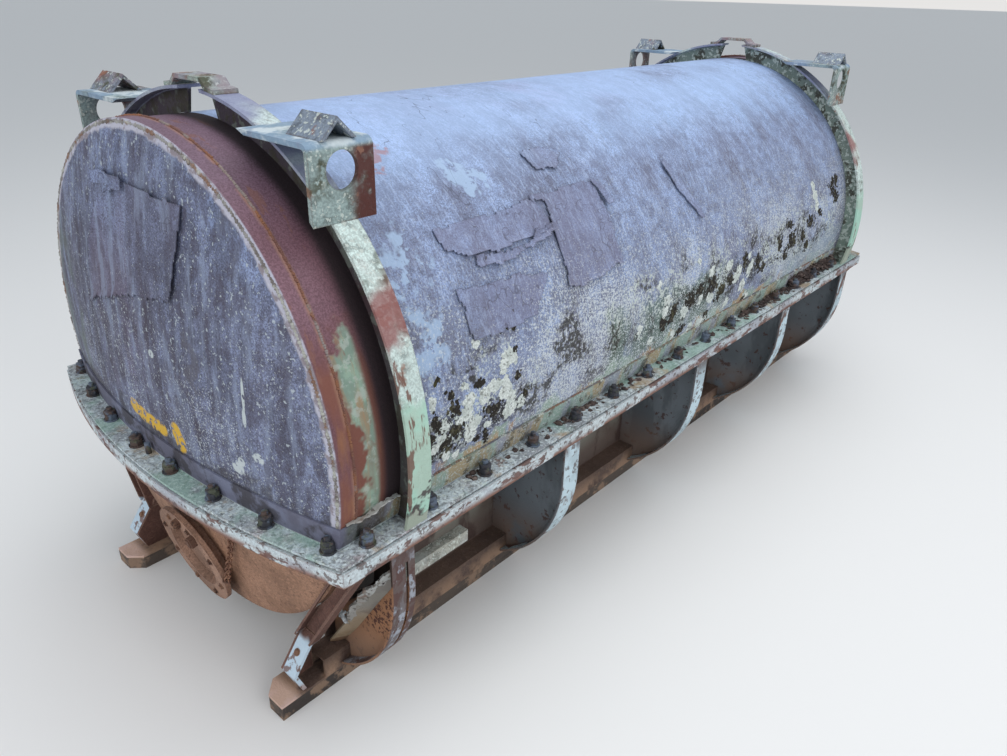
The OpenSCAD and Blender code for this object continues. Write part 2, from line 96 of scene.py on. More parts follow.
# %% [markdown]
# The photo was taken under an overcast sky, which is one huge soft lamp. A grey-white world
# does most of that work. One large soft lamp from above and one from the camera's side keep
# the top brightest and give the ribs and nuts a soft shadow.

# %% Light
def soft_lamp(name, place, target, size, watts):
    """A square lamp at place that faces target."""
    bpy.ops.object.light_add(type="AREA", location=place)
    lamp = bpy.context.object
    lamp.name = name
    lamp.data.size = size
    lamp.data.energy = watts
    lamp.rotation_mode = "QUATERNION"
    lamp.rotation_quaternion = (Vector(target) - Vector(place)).to_track_quat("-Z", "Y")


soft_lamp("lamp_above", (0.6, -0.5, 4.2), (0, 0, 0.6), 4.0, 85)
soft_lamp("lamp_side", (-1.0, -4.6, 3.0), (0, 0, 0.5), 3.0, 62)
soft_lamp("lamp_end", (-4.9, -0.6, 2.4), (-1.2, 0, 0.6), 3.0, 62)
PALE_GREY, SKY_BLUE = (0.80, 0.79, 0.78, 1), (0.86, 0.93, 1.0, 1)
world = bpy.data.worlds.new("overcast")
bpy.context.scene.world = world
world.use_nodes = True
wn, wl = world.node_tree.nodes, world.node_tree.links
sky = wn["Background"]
sky.inputs["Color"].default_value = SKY_BLUE
sky.inputs["Strength"].default_value = 0.62
backdrop = wn.new("ShaderNodeBackground")
backdrop.inputs["Color"].default_value = PALE_GREY
backdrop.inputs["Strength"].default_value = 1.0
ray = wn.new("ShaderNodeLightPath")
pick = wn.new("ShaderNodeMixShader")
wl.new(ray.outputs["Is Camera Ray"], pick.inputs[0])
wl.new(sky.outputs[0], pick.inputs[1])
wl.new(backdrop.outputs[0], pick.inputs[2])
wl.new(pick.outputs[0], wn["World Output"].inputs["Surface"])

# %% [markdown]
# The floor is a plain pale disc, big enough that its edge lies near the horizon. It takes
# the object's shadow, so the skids are seen to stand on it.

# %% Floor
bpy.ops.object.select_all(action="DESELECT")
bpy.ops.mesh.primitive_circle_add(vertices=96, radius=90, fill_type="NGON", location=(0, 0, 0))
floor = bpy.context.object
floor.name = "floor"
floor_finish = bpy.data.materials.new("pale_floor")
floor_finish.use_nodes = True
floor_shader = floor_finish.node_tree.nodes["Principled BSDF"]
floor_shader.inputs["Base Color"].default_value = PALE_GREY
floor_shader.inputs["Roughness"].default_value = 0.9
floor.data.materials.append(floor_finish)
floor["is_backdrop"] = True

# %% [markdown]
# Every finish here is paint in layers: base coat, streaks, chips down to primer, rust, moss
# and lichen. Each layer needs a mask that says where it lies. The masks are node groups, built
# once: patches (soft or hard blots of noise, fine or coarse), creases (thin wandering lines),
# zone (a box with a soft edge), blob (one egg-shaped mark), worn_edges (corners that lose paint
# first) and grain (the height of pits and blisters).

# %% Helper that adds nodes
class Graph:
    """Adds nodes to one tree. A value in inputs may be a number, a colour or a socket."""

    def __init__(self, tree):
        self.tree = tree

    def add(self, kind, inputs, out=0, **settings):
        node = self.tree.nodes.new(kind)
        for key, value in settings.items():
            setattr(node, key, value)
        for socket, value in inputs.items():
            self.give(node.inputs[socket], value)
        return node.outputs[out]

    def give(self, socket, value):
        if isinstance(value, bpy.types.NodeSocket):
            self.tree.links.new(value, socket)
        else:
            socket.default_value = value

    def math(self, operation, a, b=0.0):
        return self.add("ShaderNodeMath", {0: a, 1: b}, operation=operation)

    def vector(self, operation, a, b=(0, 0, 0)):
        return self.add("ShaderNodeVectorMath", {0: a, 1: b}, operation=operation)

    def length(self, vector):
        return self.add("ShaderNodeVectorMath", {0: vector}, "Value", operation="LENGTH")

    def smooth(self, value, low, high):
        """0 below low, 1 above high and a soft step between them."""
        inputs = {0: value, 1: low, 2: high, 3: 0.0, 4: 1.0}
        return self.add("ShaderNodeMapRange", inputs, interpolation_type="SMOOTHSTEP")

    def noise(self, vector, scale, detail, rough=0.6, out=0):
        inputs = {"Vector": vector, "Scale": scale, "Detail": detail, "Roughness": rough}
        return self.add("ShaderNodeTexNoise", inputs, out)


def mask_group(name, sockets, outputs=("Mask",)):
    """An empty node group with a vector and these number inputs, and its graph, input and output."""
    tree = bpy.data.node_groups.new(name, "ShaderNodeTree")
    tree.interface.new_socket("Vector", in_out="INPUT", socket_type="NodeSocketVector")
    for key, default in sockets.items():
        kind = "NodeSocketVector" if isinstance(default, tuple) else "NodeSocketFloat"
        tree.interface.new_socket(key, in_out="INPUT", socket_type=kind).default_value = default
    for key in outputs:
        tree.interface.new_socket(key, in_out="OUTPUT", socket_type="NodeSocketFloat")
    inner = tree.nodes.new("NodeGroupInput").outputs
    outer = tree.nodes.new("NodeGroupOutput").inputs
    return Graph(tree), inner, outer


# %% Patches: blots of noise above a level
sockets = {"Scale": 5.0, "Level": 0.55, "Edge": 0.05, "Stretch": (1, 1, 1), "Detail": 4.0}
g, into, out = mask_group("patches", sockets)
stretched = g.vector("MULTIPLY", into["Vector"], into["Stretch"])
blot = g.noise(stretched, into["Scale"], into["Detail"], 0.62)
low_edge = g.math("SUBTRACT", into["Level"], into["Edge"])
high_edge = g.math("ADD", into["Level"], into["Edge"])
g.tree.links.new(g.smooth(blot, low_edge, high_edge), out["Mask"])

# %% Creases: thin lines that wander like contour lines
g, into, out = mask_group("creases", {"Scale": 6.0, "Width": 0.01, "Stretch": (1, 1, 1)})
field = g.noise(g.vector("MULTIPLY", into["Vector"], into["Stretch"]), into["Scale"], 3.0, 0.6)
away = g.math("ABSOLUTE", g.math("SUBTRACT", field, 0.5))
g.tree.links.new(g.smooth(away, into["Width"], 0.0), out["Mask"])

# %% Zone: a box with a soft border
g, into, out = mask_group("zone", {"Low": (0, 0, 0), "High": (1, 1, 1), "Soft": 0.02})
above, below = g.vector("SUBTRACT", into["Vector"], into["Low"]), g.vector("SUBTRACT", into["High"], into["Vector"])
inside = g.vector("MINIMUM", above, below)
axes = g.add("ShaderNodeSeparateXYZ", {0: inside}, 0).node.outputs
nearest = g.math("MINIMUM", g.math("MINIMUM", axes[0], axes[1]), axes[2])
g.tree.links.new(g.smooth(nearest, 0.0, into["Soft"]), out["Mask"])

# %% Blob: one egg-shaped mark, given by its middle and its three half sizes
g, into, out = mask_group("blob", {"Middle": (0, 0, 0), "Half": (1, 1, 1)})
away = g.vector("DIVIDE", g.vector("SUBTRACT", into["Vector"], into["Middle"]), into["Half"])
g.tree.links.new(g.smooth(g.length(away), 1.1, 0.8), out["Mask"])

# %% Worn edges: where a rounded normal differs from the true one, and the noise is high
g, into, out = mask_group("worn_edges", {"Radius": 0.004, "Level": 0.5})
rounded = g.add("ShaderNodeBevel", {"Radius": into["Radius"]}, samples=2)
true_normal = g.add("ShaderNodeNewGeometry", {}, "Normal")
agree = g.add("ShaderNodeVectorMath", {0: rounded, 1: true_normal}, "Value", operation="DOT_PRODUCT")
corner = g.smooth(agree, 0.985, 0.86)
flake = g.noise(into["Vector"], 45.0, 2.0, 0.6)
worn = g.math("ADD", g.math("MULTIPLY", corner, 0.45), flake)
whole, bare = g.math("ADD", into["Level"], 0.35), g.math("ADD", into["Level"], 0.42)
g.tree.links.new(g.smooth(worn, whole, bare), out["Mask"])

# %% Grain: pits and fine blisters, as a height from 0 to 1
g, into, out = mask_group("grain", {"Scale": 120.0}, ("Height",))
g.tree.links.new(g.noise(into["Vector"], into["Scale"], 3.0, 0.7), out["Height"])
print("mask groups:", sorted(t.name for t in bpy.data.node_groups))


# %% [markdown]
# A finish is a stack of layers, as it is on the real metal. The class below starts with a base
# colour, mixes each further layer in by its mask, and keeps the roughness and the height in
# step, so that rust is rougher and a crust of lichen stands proud of the paint. Most layers are
# blots of noise: a row of numbers says how large and how many, and what colour. Zones and blobs
# read coordinates that one noise has shaken, so their borders are ragged.

# %% Helper that stacks the layers of a finish
X, Y, Z = range(3)
EVEN = (1, 1, 1)
AXIS_Z = 0.627
SHAKE_SCALE, SHAKE_REACH = 16, (0.16, 0.16, 0.16)
FINE_SCALE, SOFT_EDGE = 60, 0.09
BUMP_METRES, SHINE = 0.004, 0.35


class Finish(Graph):
    """A material made of layers. Colours are linear red, green, blue."""

    def __init__(self, name, colour, rough, grain, depth):
        self.material = bpy.data.materials.new(name)
        self.material.use_nodes = True
        super().__init__(self.material.node_tree)
        self.shader = self.tree.nodes["Principled BSDF"]
        self.place = self.add("ShaderNodeTexCoord", {}, "Object")
        self.shaken = None
        self.colour = (*colour, 1)
        self.rough = rough
        self.height = self.group("grain", "Height", Scale=grain)
        self.depth = depth

    def group(self, name, output="Mask", **values):
        node = self.tree.nodes.new("ShaderNodeGroup")
        node.node_tree = bpy.data.node_groups[name]
        for key, value in {"Vector": self.place, **values}.items():
            self.give(node.inputs[key], value)
        return node.outputs[output]

    def ragged(self):
        """The coordinates, moved a centimetre or two by noise."""
        if self.shaken is None:
            shake = self.vector("SUBTRACT", self.noise(self.place, SHAKE_SCALE, 3, 0.65, 1), (0.5, 0.5, 0.5))
            self.shaken = self.vector("ADD", self.place, self.vector("MULTIPLY", shake, SHAKE_REACH))
        return self.shaken

    def patches(self, scale, level, edge, stretch=EVEN):
        """Blots of noise. Fine or soft ones need less detail."""
        detail = 2 if scale > FINE_SCALE or edge > SOFT_EDGE else 4
        return self.group("patches", Scale=scale, Level=level, Edge=edge, Stretch=stretch, Detail=detail)

    def creases(self, scale, width, stretch=EVEN):
        return self.group("creases", Scale=scale, Width=width, Stretch=stretch)

    def zone(self, low, high, soft):
        return self.group("zone", Vector=self.ragged(), Low=low, High=high, Soft=soft)

    def belt(self, low, high, soft):
        """A zone between two heights, over the whole object."""
        return self.zone((-2, -2, low), (2, 2, high), soft)

    def blob(self, middle, half, small=False):
        """One mark. A small one reads the unmoved coordinates, so that it stays in its place."""
        return self.group("blob", Vector=self.place if small else self.ragged(), Middle=middle, Half=half)

    def edges(self, radius, level):
        return self.group("worn_edges", Radius=radius, Level=level)

    def axis(self, index, fold=False):
        """One coordinate, or its size without the sign."""
        value = self.add("ShaderNodeSeparateXYZ", {0: self.place}, index)
        return self.math("ABSOLUTE", value) if fold else value

    def ramp(self, index, low, high, fold=False):
        """0 to 1 as one coordinate, or its size, goes from low to high."""
        return self.smooth(self.axis(index, fold), low, high)

    def from_axis(self):
        """The distance from the barrel's axis."""
        spoke = self.vector("MULTIPLY", self.vector("SUBTRACT", self.place, (0, 0, AXIS_Z)), (0, 1, 1))
        return self.length(spoke)

    def both(self, *masks):
        made = masks[0]
        for mask in masks[1:]:
            made = self.math("MULTIPLY", made, mask)
        return made

    def crowded(self, level, drop, *masks):
        """A noise level that falls by drop where the masks are 1, so that blots crowd there."""
        return self.math("SUBTRACT", level, self.math("MULTIPLY", self.both(*masks), drop))

    def lay(self, mask, colour, rough=None, height=0, share=1):
        """Mixes one layer in where mask is 1, at most by share."""
        if share != 1:
            mask = self.math("MULTIPLY", mask, share)
        inputs = {0: mask, 6: self.colour, 7: (*colour, 1)}
        self.colour = self.add("ShaderNodeMix", inputs, 2, data_type="RGBA")
        if rough is not None:
            self.rough = self.add("ShaderNodeMix", {0: mask, 2: self.rough, 3: rough}, 0, data_type="FLOAT")
        if height:
            self.height = self.math("ADD", self.height, self.math("MULTIPLY", mask, height))

    def spot(self, within, scale, level, edge, colour, rough=None, share=1, stretch=EVEN, height=0):
        """A layer of noise blots, inside the mask within if there is one."""
        mask = self.patches(scale, level, edge, stretch)
        self.lay(mask if within is None else self.both(within, mask), colour, rough, height, share)

    def spots(self, within, *rows):
        """Such layers, one for each row: scale, level, edge, colour, rough, share, stretch, height."""
        for row in rows:
            self.spot(within, *row)

    def done(self):
        self.give(self.shader.inputs["Base Color"], self.colour)
        self.give(self.shader.inputs["Roughness"], self.rough)
        self.shader.inputs["Specular IOR Level"].default_value = SHINE
        bump = {"Height": self.height, "Strength": self.depth, "Distance": BUMP_METRES}
        self.give(self.shader.inputs["Normal"], self.add("ShaderNodeBump", bump))
        return self.material


def spotted(name, colour, rough, grain, depth, *rows):
    """A finish of a base colour under layers of blots."""
    f = Finish(name, colour, rough, grain, depth)
    f.spots(None, *rows)
    return f


def dress(f, *names):
    """Ends a finish and puts it on these CAD solids."""
    material = f.done()
    for name in names:
        nodes[name].data.materials.clear()
        nodes[name].data.materials.append(material)


def tint(colour, factor):
    return tuple(min(1, factor * c) for c in colour)


def at_corners(part):
    """The names of a part's four copies."""
    return [f"{part}_{end}_{side}" for end in ("near", "far") for side in ("right", "left")]


RUST, DARK_RUST, OCHRE = (0.24, 0.095, 0.05), (0.075, 0.036, 0.028), (0.4, 0.24, 0.11)
DARK_MOSS, LICHEN = (0.022, 0.019, 0.016), (0.6, 0.65, 0.6)
SAND, SPECK = (0.5, 0.32, 0.21), (0.58, 0.62, 0.64)

# %% [markdown]
# The barrel was painted a lavender blue that has gone chalky. Its crown is paler and bluer: that
# is painted sheen of the overcast sky on the upward faces. It is purple near the first ring, and
# grey-brown with fine white specks low down, where water stands. The specks are one fine noise
# whose level falls with the height.
# Beyond the rings only a maroon primer is left, smooth on top, with rust and a mint patch of an
# older coat at its foot. The ends mirror each other, so the masks use the size of X.

# %% Layers that the barrel and the heads share
BAND_X = 1.0715
HEAD_EDGE_X = 1.2125
SEAM_X = 1.178


def primer_band(f, mask):
    """The maroon band outside the ring frames: primer, rust, an older mint coat, dark grains and a near-black strip
    beside the ring.
    """
    f.lay(mask, (0.135, 0.058, 0.075), 0.55)
    f.spots(mask, (3, 0.5, 0.14, (0.28, 0.15, 0.19), None, 0.75, (1.6, 0.6, 0.6)))
    f.lay(f.both(mask, f.ramp(Z, 1, 1.12)), (0.175, 0.115, 0.17), share=0.7)
    f.spots(mask, (300, 0.5, 0.14, (0.06, 0.026, 0.034), None, 0.5))
    f.spots(
        f.both(mask, f.belt(0.4, 0.9, 0.1), f.ramp(X, 1.1, 1.112, True)),
        (5, 0.43, 0.06, (0.2, 0.075, 0.05), 0.8, 0.85, (2, 0.45, 0.45)),
        (9, 0.55, 0.06, (0.27, 0.12, 0.06), 0.8, 0.75, (2.2, 0.4, 0.4)),
    )
    old_coat = f.both(mask, f.zone((-1.172, -2, 0.5), (1.172, 2, 0.87), 0.022), f.ramp(X, 1.116, 1.13, True))
    old_coat = f.both(old_coat, f.patches(4, 0.4, 0.07, (2.2, 0.5, 0.5)))
    f.lay(old_coat, (0.27, 0.38, 0.3), 0.65)
    f.spots(
        old_coat,
        (26, 0.5, 0.06, (0.17, 0.24, 0.2), 0.7, 0.7),
        (9, 0.54, 0.06, (0.36, 0.2, 0.1), 0.8, 0.8, (2.4, 0.4, 0.4)),
        (60, 0.56, 0.05, (0.42, 0.46, 0.42), 0.8, 0.6),
    )
    from_seam = f.math("ABSOLUTE", f.math("SUBTRACT", f.axis(X, True), SEAM_X))
    f.spots(f.both(mask, f.smooth(from_seam, 0.01, 0.002)), (13, 0.48, 0.05, (0.34, 0.19, 0.13), 0.8, 0.7))
    f.spots(mask, (15, 0.62, 0.02, (0.22, 0.1, 0.075), 0.8, 0.6, (1.6, 0.5, 0.5)))
    # A near-black strip on the band, darkest next to the ring frame and fading towards the seam.
    f.lay(f.both(mask, f.ramp(X, 1.128, 1.098, True)), (0.016, 0.011, 0.013), 0.9, share=0.93)


def chalky(f, light, dark, streak, specks, speck_share):
    """Soft mottling, runs, a fine dark grain and white specks, whose noise level is specks."""
    f.spots(
        None,
        (2.3, 0.5, 0.12, light, None, 0.75),
        (5, 0.51, 0.1, dark, 0.72, 0.65, streak),
        (15, 0.53, 0.09, light, None, 0.55, streak),
        (30, 0.53, 0.07, tint(dark, 0.8), 0.75, 0.45),
        (300, 0.5, 0.12, tint(dark, 0.5), None, 0.6),
        (260, specks, 0.035, SPECK, 0.85, speck_share),
    )


def barrel_coat(f, purple):
    """The whole barrel's coat, which the loose film shares, as it is the same paint; its pale blue crown is painted
    sky sheen.
    """
    drop = f.ramp(Z, 1.02, 0.7)
    patchy = f.smooth(f.noise(f.place, 3, 3), 0.36, 0.6)
    # Painted sheen: the crown is laid paler and bluer, for the overcast sky's light on its upward faces.
    f.lay(f.ramp(Z, 0.92, 1.13), (0.36, 0.52, 0.82), 0.55, share=0.9)
    near_crown = f.zone((-1.2, -0.3, 0.9), (0.3, 0.4, 1.3), 0.2)
    f.spots(near_crown, (3.4, 0.47, 0.12, (0.33, 0.22, 0.36), None, purple, (0.6, 1, 1)))
    f.spots(drop, (2.6, 0.5, 0.12, (0.2, 0.185, 0.245), None, 0.6))
    specks = f.crowded(0.7, 0.17, drop, patchy)
    chalky(f, (0.36, 0.47, 0.74), (0.15, 0.155, 0.225), (1.2, 0.35, 0.35), specks, 0.85)
    f.spots(drop, (9, 0.52, 0.1, (0.115, 0.1, 0.105), 0.8, 0.55))
    f.spots(
        None,
        (90, 0.53, 0.07, (0.16, 0.17, 0.26), None, 0.3, (1.6, 0.35, 0.35)),
        (110, 0.58, 0.05, (0.46, 0.56, 0.78), None, 0.3, (1.6, 0.35, 0.35)),
    )
    # More painted sky sheen: pale blue blots over the crown.
    f.spots(f.ramp(Z, 0.98, 1.12), (3, 0.46, 0.14, (0.4, 0.56, 0.86), 0.55, 0.55, (0.5, 1, 1)))
    return drop, patchy


# %% Barrel finish
BLUE_SCUFFS = [
    ((-0.96, -0.44, 0.93), (0.075, 0.1, 0.055)),
    ((-0.7, -0.33, 1.04), (0.06, 0.08, 0.03)),
    ((-0.98, -0.5, 0.8), (0.07, 0.1, 0.05)),
]
MOSS_STAINS = [((-1.07, -2, 0.555), (-0.74, 2, 0.69), 0.04), ((-0.28, -2, 0.58), (0.98, 2, 0.71), 0.06)]
f = Finish("weathered_lavender_barrel", (0.245, 0.31, 0.49), 0.6, 160, 0.35)
drop, patchy = barrel_coat(f, 0.8)
for middle, half in BLUE_SCUFFS:
    f.spots(f.blob(middle, half), (24, 0.47, 0.03, (0.36, 0.48, 0.66), 0.6, 0.8))
green_stain = f.zone((-0.5, -2, 0.53), (0.2, 2, 0.72), 0.05)
f.spots(green_stain, (5, 0.44, 0.08, (0.095, 0.14, 0.105), 0.8, 0.85, (1.6, 0.5, 0.5)))
f.spots(
    f.belt(0.4, 0.575, 0.02),
    (7, 0.46, 0.07, (0.28, 0.37, 0.29), 0.8, 0.8, (1.4, 0.6, 0.6)),
    (9, 0.54, 0.05, OCHRE, 0.85, 0.75, (1.4, 0.6, 0.6)),
)
for low, high, soft in MOSS_STAINS:
    stain = f.both(f.zone(low, high, soft), f.patches(75, 0.4, 0.08))
    f.spots(stain, (13, 0.505, 0.05, DARK_MOSS, 0.95, 0.9))
f.spots(f.zone((0.55, -2, 0.5), (1.05, 2, 0.655), 0.03), (4, 0.4, 0.1, (0.235, 0.29, 0.345), 0.7, 0.7))
f.spots(
    drop,
    (140, 0.635, 0.025, SPECK, 0.85, 0.85),
    (200, f.crowded(0.63, 0.075, drop, patchy), 0.035, SPECK, 0.85, 0.85),
)
wet = f.zone((-1.05, -2, 0.56), (1, 2, 0.78), 0.05)
dark_crust, pale_crust = f.both(wet, f.patches(90, 0.47, 0.05)), f.both(wet, f.patches(120, 0.54, 0.03))
f.spots(dark_crust, (9, 0.57, 0.03, (0.03, 0.027, 0.021), 0.95, 0.85, EVEN, 0.8))
f.spots(pale_crust, (7, 0.55, 0.05, (0.52, 0.57, 0.54), 0.95, 0.92, EVEN, 0.9))
f.spots(f.blob((-0.89, -0.235, 1.09), (0.05, 0.06, 0.05)), (26, 0.5, 0.04, (0.36, 0.19, 0.19), 0.8, 0.7))
f.spots(f.creases(6, 0.005, (1.4, 0.6, 0.6)), (2.6, 0.56, 0.05, (0.07, 0.07, 0.1), 0.85, 0.6, EVEN, -0.5))
primer_band(f, f.ramp(X, BAND_X - 0.001, BAND_X + 0.001, True))
dress(f, "upper_shell")

# %% [markdown]
# The dished heads keep more of the grey-purple coat, with long soft runs straight down. Their
# rim is a rough pale weld, and the skirt behind it is part of the maroon band. Two strips of
# yellow paint are left low on the near head. Whatever they once said is gone: they are plain
# blots. A few pale rosettes, one pale run and a dark scraped rectangle are single blobs.

# %% Head finish
def head_coat(f):
    """The heads' coat, which their loose film shares."""
    f.lay(f.ramp(Y, 0.1, -0.4), (0.26, 0.3, 0.46), share=0.9)
    f.lay(f.ramp(Z, 0.85, 1.05), (0.31, 0.41, 0.68), share=0.8)
    f.spots(f.ramp(Y, -0.22, 0.1), (3.4, 0.48, 0.12, (0.12, 0.066, 0.105), 0.7, 0.75, (1, 1.3, 0.5)))
    patchy = f.smooth(f.noise(f.place, 5, 3), 0.4, 0.58)
    specks = f.crowded(0.7, 0.095, f.ramp(Z, 1.1, 0.6), patchy)
    chalky(f, (0.235, 0.275, 0.43), (0.06, 0.054, 0.08), (1, 2, 0.25), specks, 0.8)


def marks(f, depth, places, worn, colour, rough, share):
    """Marks on the near head: depth is their X and half size in X, places have Y, Z and half sizes."""
    for y, z, half_y, half_z in places:
        mark = f.blob((depth[0], y, z), (depth[1], half_y, half_z), True)
        f.lay(f.both(mark, worn), colour, rough, share=share)


ROSETTE_MARKS = [
    (-0.29, 0.583, 0.017, 0.014), (-0.302, 0.6, 0.01, 0.01), (-0.351, 0.625, 0.014, 0.012),
    (-0.328, 0.745, 0.004, 0.035), (-0.326, 0.7, 0.005, 0.02), (0.06, 0.905, 0.012, 0.02),
    (-0.05, 0.74, 0.01, 0.009),
]
YELLOW_BLOTS = [
    (0.075, 0.578, 0.025, 0.019), (0.04, 0.573, 0.031, 0.019), (0, 0.571, 0.031, 0.018),
    (-0.036, 0.571, 0.024, 0.018), (-0.098, 0.585, 0.019, 0.024), (-0.106, 0.566, 0.02, 0.026),
]
f = Finish("weathered_head", (0.125, 0.13, 0.2), 0.62, 150, 0.4)
head_coat(f)
f.spots(
    None,
    (20, 0.57, 0.09, (0.27, 0.32, 0.44), 0.8, 0.45, (1, 1.8, 0.3)),
    (30, 0.54, 0.07, (0.06, 0.05, 0.072), 0.8, 0.5, (1, 1.2, 0.6)),
    (120, 0.645, 0.025, (0.44, 0.49, 0.53), 0.85, 0.75),
)
f.spots(f.zone((-2, 0.3, 0.5), (2, 0.6, 0.95), 0.1), (5, 0.46, 0.1, (0.13, 0.155, 0.14), 0.8, 0.7))
f.spots(f.belt(0.45, 0.575, 0.03), (12, 0.45, 0.08, (0.055, 0.05, 0.055), 0.9, 0.7))
f.lay(f.blob((-1.27, -0.185, 0.75), (0.1, 0.02, 0.06)), (0.095, 0.09, 0.11), 0.8, share=0.6)
marks(f, (-1.26, 0.1), ROSETTE_MARKS, f.patches(90, 0.42, 0.05), (0.5, 0.55, 0.56), 0.9, 0.9)
marks(f, (-1.27, 0.05), YELLOW_BLOTS, f.patches(70, 0.43, 0.04), (0.62, 0.37, 0.02), 0.55, 0.95)
uneven = f.math("MULTIPLY", f.patches(30, 0.5, 0.2), 0.006)
rim = f.smooth(f.math("ADD", f.from_axis(), uneven), 0.512, 0.519)
f.lay(rim, (0.5, 0.49, 0.57), 0.8, 0.6, 0.85)
f.spots(rim, (40, 0.53, 0.05, (0.2, 0.16, 0.17), 0.85, 0.8))
primer_band(f, f.ramp(X, HEAD_EDGE_X, HEAD_EDGE_X - 0.004, True))
dress(f, "upper_head_near", "upper_head_far")

# %% [markdown]
# The frame parts were mint green over red primer. Corners have chipped first, the ring webs are
# dark with spots of moss, the near ring's web near-black, and a pale film covers the caps. One
# function lays these coats, and each part gets its own shares: the ring caps are the palest, the
# brackets the rustiest, the straps the mossiest.

# %% Frame finishes
def frame_paint(name, base, pale, rust, moss, chips):
    """Mint paint that chips, rusts and grows moss. The levels are noise levels: lower is more."""
    f = spotted(
        name, base, 0.62, 170, 0.45,
        (5, pale, 0.12, tint(base, 1.35), 0.7, 0.7),
        (230, 0.5, 0.14, tint(base, 0.45), None, 0.5),
        (5, rust, 0.08, (0.23, 0.115, 0.11), 0.75, 0.8, (1, 1, 0.6)),
        (14, rust + 0.03, 0.03, RUST, 0.85, 0.8),
        (60, 0.57, 0.05, tint(base, 0.35), 0.8, 0.7),
        (120, 0.6, 0.04, LICHEN, 0.85, 0.7),
    )
    f.spots(f.patches(80, 0.45, 0.06), (8, moss, 0.06, (0.06, 0.062, 0.035), 0.95, 0.9, EVEN, 0.8))
    f.lay(f.edges(0.004, chips), (0.1, 0.062, 0.05), 0.85, share=0.75)
    return f


f = frame_paint("ring_mint", (0.54, 0.64, 0.61), 0.5, 0.62, 0.6, 0.52)
f.spots(f.belt(1.02, 1.3, 0.08), (6, 0.42, 0.12, (0.21, 0.22, 0.36), 0.65, 0.85))
f.spots(f.zone((-2, -0.6, 0.82), (2, 0.6, 0.985), 0.05), (7, 0.46, 0.1, (0.27, 0.105, 0.1), 0.75, 0.85))
foot = f.belt(0.4, 0.765, 0.05)
f.lay(foot, (0.35, 0.6, 0.48), 0.55, share=0.88)
f.spots(foot, (8, 0.54, 0.08, (0.42, 0.52, 0.44), 0.65, 0.7))
f.spots(f.belt(0.47, 0.9, 0.05), (24, 0.6, 0.02, (0.17, 0.085, 0.065), 0.8, 0.9, (1.5, 1, 0.35), -0.3))
f.lay(f.belt(0.4, 0.545, 0.012), (0.31, 0.33, 0.27), 0.7, share=0.85)
f.spots(f.belt(0.528, 0.556, 0.008), (16, 0.44, 0.05, (0.055, 0.035, 0.038), 0.85, 0.9))
web = f.smooth(f.from_axis(), 0.571, 0.567)
near_web, far_web = f.both(web, f.ramp(X, 0.2, -0.2)), f.both(web, f.ramp(X, -0.2, 0.2))
# The near ring's web is laid near-black, the far ring's a dark mint.
f.lay(near_web, (0.034, 0.02, 0.026), 0.85, share=0.93)
f.lay(far_web, (0.17, 0.22, 0.19), 0.85, share=0.93)
f.spots(
    web,
    (30, 0.58, 0.05, (0.17, 0.2, 0.17), 0.9, 0.5, EVEN, 0.5),
    (22, 0.54, 0.05, (0.045, 0.04, 0.03), 0.9, 0.85, EVEN, 0.6),
)
f.spots(far_web, (80, 0.57, 0.03, (0.46, 0.52, 0.48), 0.9, 0.8))
dress(f, "ring_near", "ring_far")

f = frame_paint("strap_mossy", (0.3, 0.4, 0.35), 0.5, 0.57, 0.54, 0.46)
f.spots(f.ramp(Z, 1.195, 1.212), (9, 0.5, 0.1, (0.3, 0.27, 0.34), 0.7, 0.6))
dress(f, "strap_near", "strap_far")

f = frame_paint("bracket_mint", (0.27, 0.345, 0.335), 0.5, 0.58, 0.57, 0.48)
f.spots(
    f.both(f.ramp(X, -1.065, -1.035), f.ramp(X, -0.9, -0.95), f.ramp(Z, 1.155, 1.145)),
    (12, 0.4, 0.08, (0.085, 0.026, 0.022), 0.85, 0.97),
    (26, 0.62, 0.03, (0.26, 0.13, 0.09), 0.8, 0.8),
)
f.spots(f.ramp(Z, 1, 0.965), (16, 0.46, 0.06, (0.27, 0.12, 0.085), 0.85, 0.75))
f.spots(
    f.ramp(Z, 1.148, 1.156),
    (7, 0.4, 0.1, (0.2, 0.3, 0.43), 0.6, 0.8),
    (10, 0.56, 0.04, (0.6, 0.66, 0.68), 0.7, 0.8),
)
dress(f, *at_corners("bracket"))

f = frame_paint("stacking_grey", (0.2, 0.24, 0.3), 0.53, 0.6, 0.57, 0.46)
dress(f, *at_corners("stack_angle"))

# %% [markdown]
# The upper flange holds water and dirt: its top is a grey mix of lavender and mint, dark with
# silt, with a thin pale line where it meets the barrel. Its upright leg takes the barrel's own
# paint on the ends and mint with ochre runs on the sides. The lower flange's lip is pale blue
# above and rust along its lower third. Between them the old gasket shows as a dark line.

